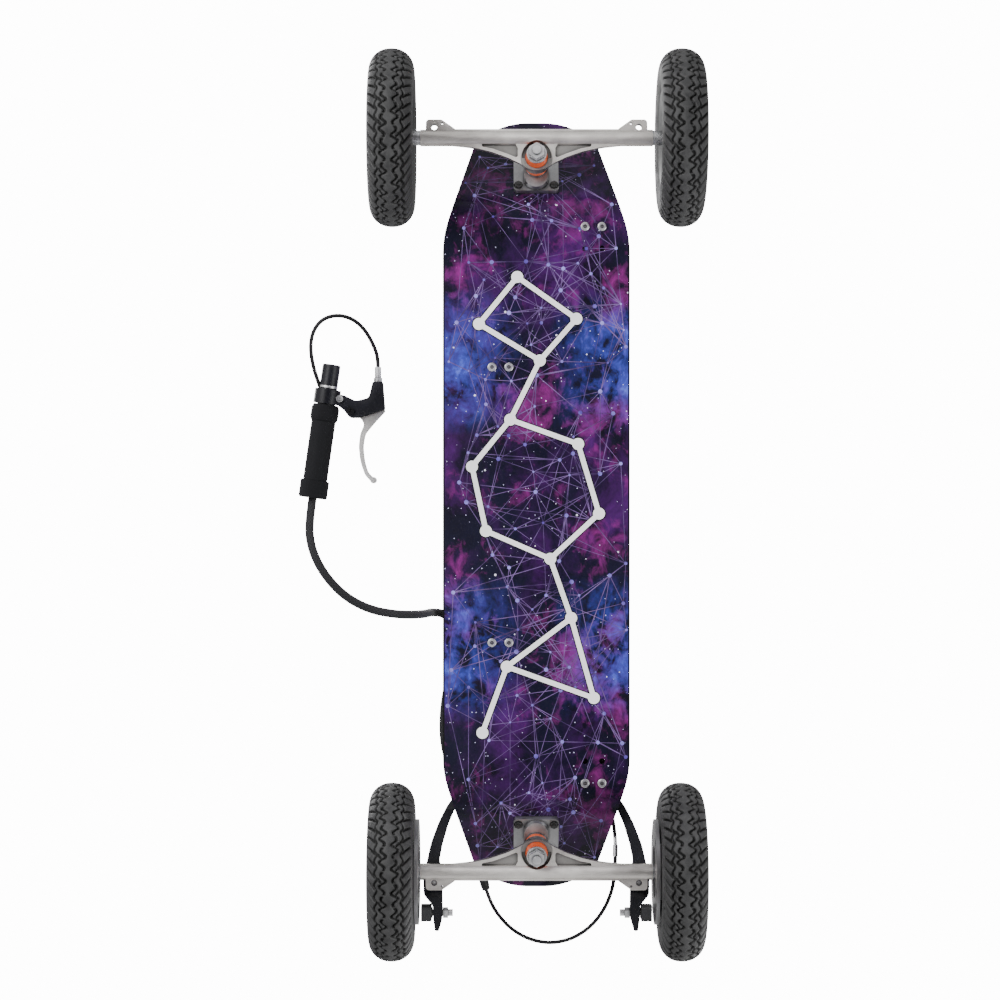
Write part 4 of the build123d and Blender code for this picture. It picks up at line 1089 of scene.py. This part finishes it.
def make_strap(name, side):
    place = binding_place(side)
    pad = arch_band(
        name + "_padded", place, strap_width, lambda t, w: -padding(t, w), lambda t, w: padding(t, w), "cloth",
    )
    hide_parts(name)

    def lay(t, w):
        return max(padding(t, w * 0.6), 0.0034) - 0.0004

    def above(height):
        return lambda t, w: lay(t, w) + height

    web = arch_band(
        name + "_webbing", place, lambda t: 0.0190, lay, above(0.0016), "web", 0.03, 0.97, 96, 13,
    )
    flap = arch_band(
        name + "_flap", place, lambda t: 0.0185, above(0.0017), above(0.0034), "web", 0.40, 0.72, 40, 13,
    )
    return pad, web, flap


for name, side in (("front_binding_strap", 1), ("rear_binding_strap", -1)):
    made = make_strap(name, side)
    print(name, [len(p.data.polygons) for p in made])


# %% Rows of stitches, with Geometry Nodes
def stitch_row():
    """Short bars of yarn along a line of points, each turned along it."""
    tree = Tree("stitch_row", Spacing="Float", Length="Float", Thickness="Float", Finish="Material")
    line = tree.add("GeometryNodeMeshToCurve", Mesh=tree.given("Geometry"))
    points = tree.add("GeometryNodeResampleCurve", {"mode": "LENGTH"}, Curve=line, Length=tree.given("Spacing"))
    tangent = tree.add("GeometryNodeInputTangent")
    turn = tree.add("FunctionNodeAlignRotationToVector", {"axis": "X"}, Vector=tangent)
    length, thickness = tree.given("Length"), tree.given("Thickness")
    size = tree.add("ShaderNodeCombineXYZ", X=length, Y=thickness, Z=thickness)
    yarn = tree.add("GeometryNodeMeshIcoSphere", Radius=0.5, Subdivisions=2)
    bars = tree.add("GeometryNodeInstanceOnPoints", Points=points, Instance=yarn, Rotation=turn, Scale=size)
    return tree.finish(bars)


def stitches(name, rows, spacing, length, thick):
    """One piece of stitches from rows of places."""
    points, edges = [], []
    for row in rows:
        start = len(points)
        points += row
        edges += [(start + i, start + i + 1) for i in range(len(row) - 1)]
    mesh = bpy.data.meshes.new("rows")
    mesh.from_pydata([tuple(p) for p in points], edges, [])
    base = bpy.data.objects.new("rows", mesh)
    bpy.context.scene.collection.objects.link(base)
    sewn = grown(base, sewing, Spacing=spacing, Length=length, Thickness=thick, Finish=finishes["yarn"])
    bpy.data.objects.remove(base)
    thing = bpy.data.objects.new(name, sewn)
    sewn.polygons.foreach_set("use_smooth", [True] * len(sewn.polygons))
    bpy.context.scene.collection.objects.link(thing)
    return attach(thing, "board")


sewing = stitch_row()
for name, side in (("front_strap_stitches", 1), ("rear_strap_stitches", -1)):
    place = binding_place(side)
    rows = []
    for w in (-0.0170, 0.0170):
        row = []
        for i in range(81):
            t = 0.035 + 0.93 * i / 80
            on_webbing = arch(math.pi * t, max(padding(t, 0.54), 0.0034) + 0.0012)[0]
            row.append(place @ (on_webbing + Vector((0, w, 0))))
        rows.append(row)
    sewn = stitches(name, rows, 0.0042, 0.0030, 0.0006)
    print(name, len(sewn.data.polygons), "faces")


# %% Sole pads
def rounded_outline(half_x, half_y, radius, sides=16):
    """A rounded rectangle, as places in order."""
    places = []
    for cx, cy, start in ((1, 1, 0), (-1, 1, 1), (-1, -1, 2), (1, -1, 3)):
        for i in range(sides + 1):
            t = math.pi / 2 * (start + i / sides)
            x = cx * (half_x - radius) + radius * math.cos(t)
            places.append((x, cy * (half_y - radius) + radius * math.sin(t)))
    return places


def sole_pad(name, side):
    """A foam pad with a soft rolled edge and a shallow dish for the foot."""
    place = binding_place(side)
    rings = []
    steps = [(0.0006, 0.0), (0.0, 0.0012), (0.0, 0.0040), (0.0011, 0.0054), (0.0032, 0.0060), (0.007, 0.0060)]
    steps += [(0.0095, 0.0054), (0.014, 0.0051), (0.024, 0.0049), (0.036, 0.0048), (0.044, 0.0048)]
    for inset, height in steps:
        half_x, half_y = 0.0449 - inset, 0.0839 - inset
        radius = 0.0295 - inset * 0.6 if half_x > 0.03 else half_x * 0.98
        outline = rounded_outline(half_x, half_y, radius)
        rings.append([place @ Vector((x, y, pad_floor + height)) for x, y in outline])
    points, faces = loft(rings)
    thing = outward(piece(name, points, faces, finishes["pad"], "board"))
    return thing


def stud_field():
    """Low round studs on every point."""
    tree = Tree("stud_field", Radius="Float", Height="Float", Finish="Material")
    wide = tree.given("Radius")
    stud = tree.add("GeometryNodeMeshUVSphere", Radius=1.0, Segments=12, Rings=6)
    size = tree.add("ShaderNodeCombineXYZ", X=wide, Y=wide, Z=tree.given("Height"))
    studs = tree.add("GeometryNodeInstanceOnPoints", Points=tree.given("Geometry"), Instance=stud, Scale=size)
    return tree.finish(studs)


pads = [sole_pad("front_sole_pad", 1), sole_pad("rear_sole_pad", -1)]
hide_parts("foot_pads")
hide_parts("foot_pads")
field = stud_field()
for name, side in (("front_pad_studs", 1), ("rear_pad_studs", -1)):
    place, spots = binding_place(side), []
    for i in range(-3, 4):
        for j in range(-7, 8):
            x, y = i * 0.0095 + (0.00475 if j % 2 else 0.0), j * 0.0092
            if (x / 0.033) ** 4 + (y / 0.072) ** 4 < 1:
                spots.append(place @ Vector((x, y, pad_floor + 0.0048)))
    mesh = bpy.data.meshes.new("spots")
    mesh.from_pydata([tuple(p) for p in spots], [], [])
    base = bpy.data.objects.new("spots", mesh)
    bpy.context.scene.collection.objects.link(base)
    studs = bpy.data.objects.new(name, grown(base, field, Radius=0.0024, Height=0.0011, Finish=finishes["pad"]))
    bpy.data.objects.remove(base)
    bpy.context.scene.collection.objects.link(studs)
    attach(studs, "board")
    print(name, len(spots), "studs")

# %% [markdown]
# ## Small turned parts
# A grey band on the handle's tube, and a rubber plug that closes each spare hole from above.

# %% Turned parts
def turned(name, centre, axis, section, finish, body, sides=40):
    """A closed ring from its section of (radius, along) corners, turned about an axis."""
    axis = Vector(axis).normalized()
    one = axis.orthogonal().normalized()
    two = axis.cross(one)
    rings = []
    for r, along in section:
        turns = [2 * math.pi * j / sides for j in range(sides)]
        spokes = [one * math.cos(t) + two * math.sin(t) for t in turns]
        rings.append([Vector(centre) + axis * along + spoke * r for spoke in spokes])
    points, faces = loft(rings, close_ends=False)
    last = (len(rings) - 1) * sides
    for j in range(sides):
        faces.append((last + j, last + (j + 1) % sides, (j + 1) % sides, j))
    return outward(piece(name, points, faces, finishes[finish], body, smooth=False))


handle_foot, handle_turn = Vector((0.0078, -0.2503, 0.016)), math.radians(8.2)
handle_way = Vector((math.cos(handle_turn), math.sin(handle_turn), 0))
band = [(0.0101, 0.0), (0.0101, 0.0022), (0.00995, 0.0022), (0.00995, 0.0)]
turned("handle_band", handle_foot + handle_way * 0.1238, handle_way, band, "steel", "board")
plug = [(0.0033, 0.0), (0.0033, 0.0046), (0.0002, 0.0046), (0.0002, 0.0)]
for side, end in ((1, "front"), (-1, "rear")):
    for row in (-1, 1):
        spot = (side * 0.2946, 0.0657 + row * 0.00975, 0.1214)
        turned(f"{end}_hole_plug_{'right' if row < 0 else 'left'}", spot, (0, 0, 1), plug, "shoe", "board", 20)
print("turned parts done")

# %% The floor
def stage_floor():
    """A pale plane that shows from above and is clear from below."""
    f = Finish("pale_floor", Base_Color=rgb(0.80, 0.80, 0.80), Roughness=0.8)
    back = f.add("ShaderNodeNewGeometry", out="Backfacing")
    clear = f.add("ShaderNodeBsdfTransparent")
    body = Value(f, f.skin.outputs[0])
    seen = f.add("ShaderNodeMixShader", {}, {0: back, 1: body, 2: clear})
    f.tree.links.new(seen.socket, f.tree.nodes["Material Output"].inputs["Surface"])
    mesh = bpy.data.meshes.new("floor")
    reach = 60
    corners = [(-reach, -reach, 0), (reach, -reach, 0), (reach, reach, 0), (-reach, reach, 0)]
    mesh.from_pydata(corners, [], [(0, 1, 2, 3)])
    mesh.materials.append(f.material)
    floor = bpy.data.objects.new("floor", mesh)
    bpy.context.scene.collection.objects.link(floor)
    floor.visible_shadow = False


stage_floor()
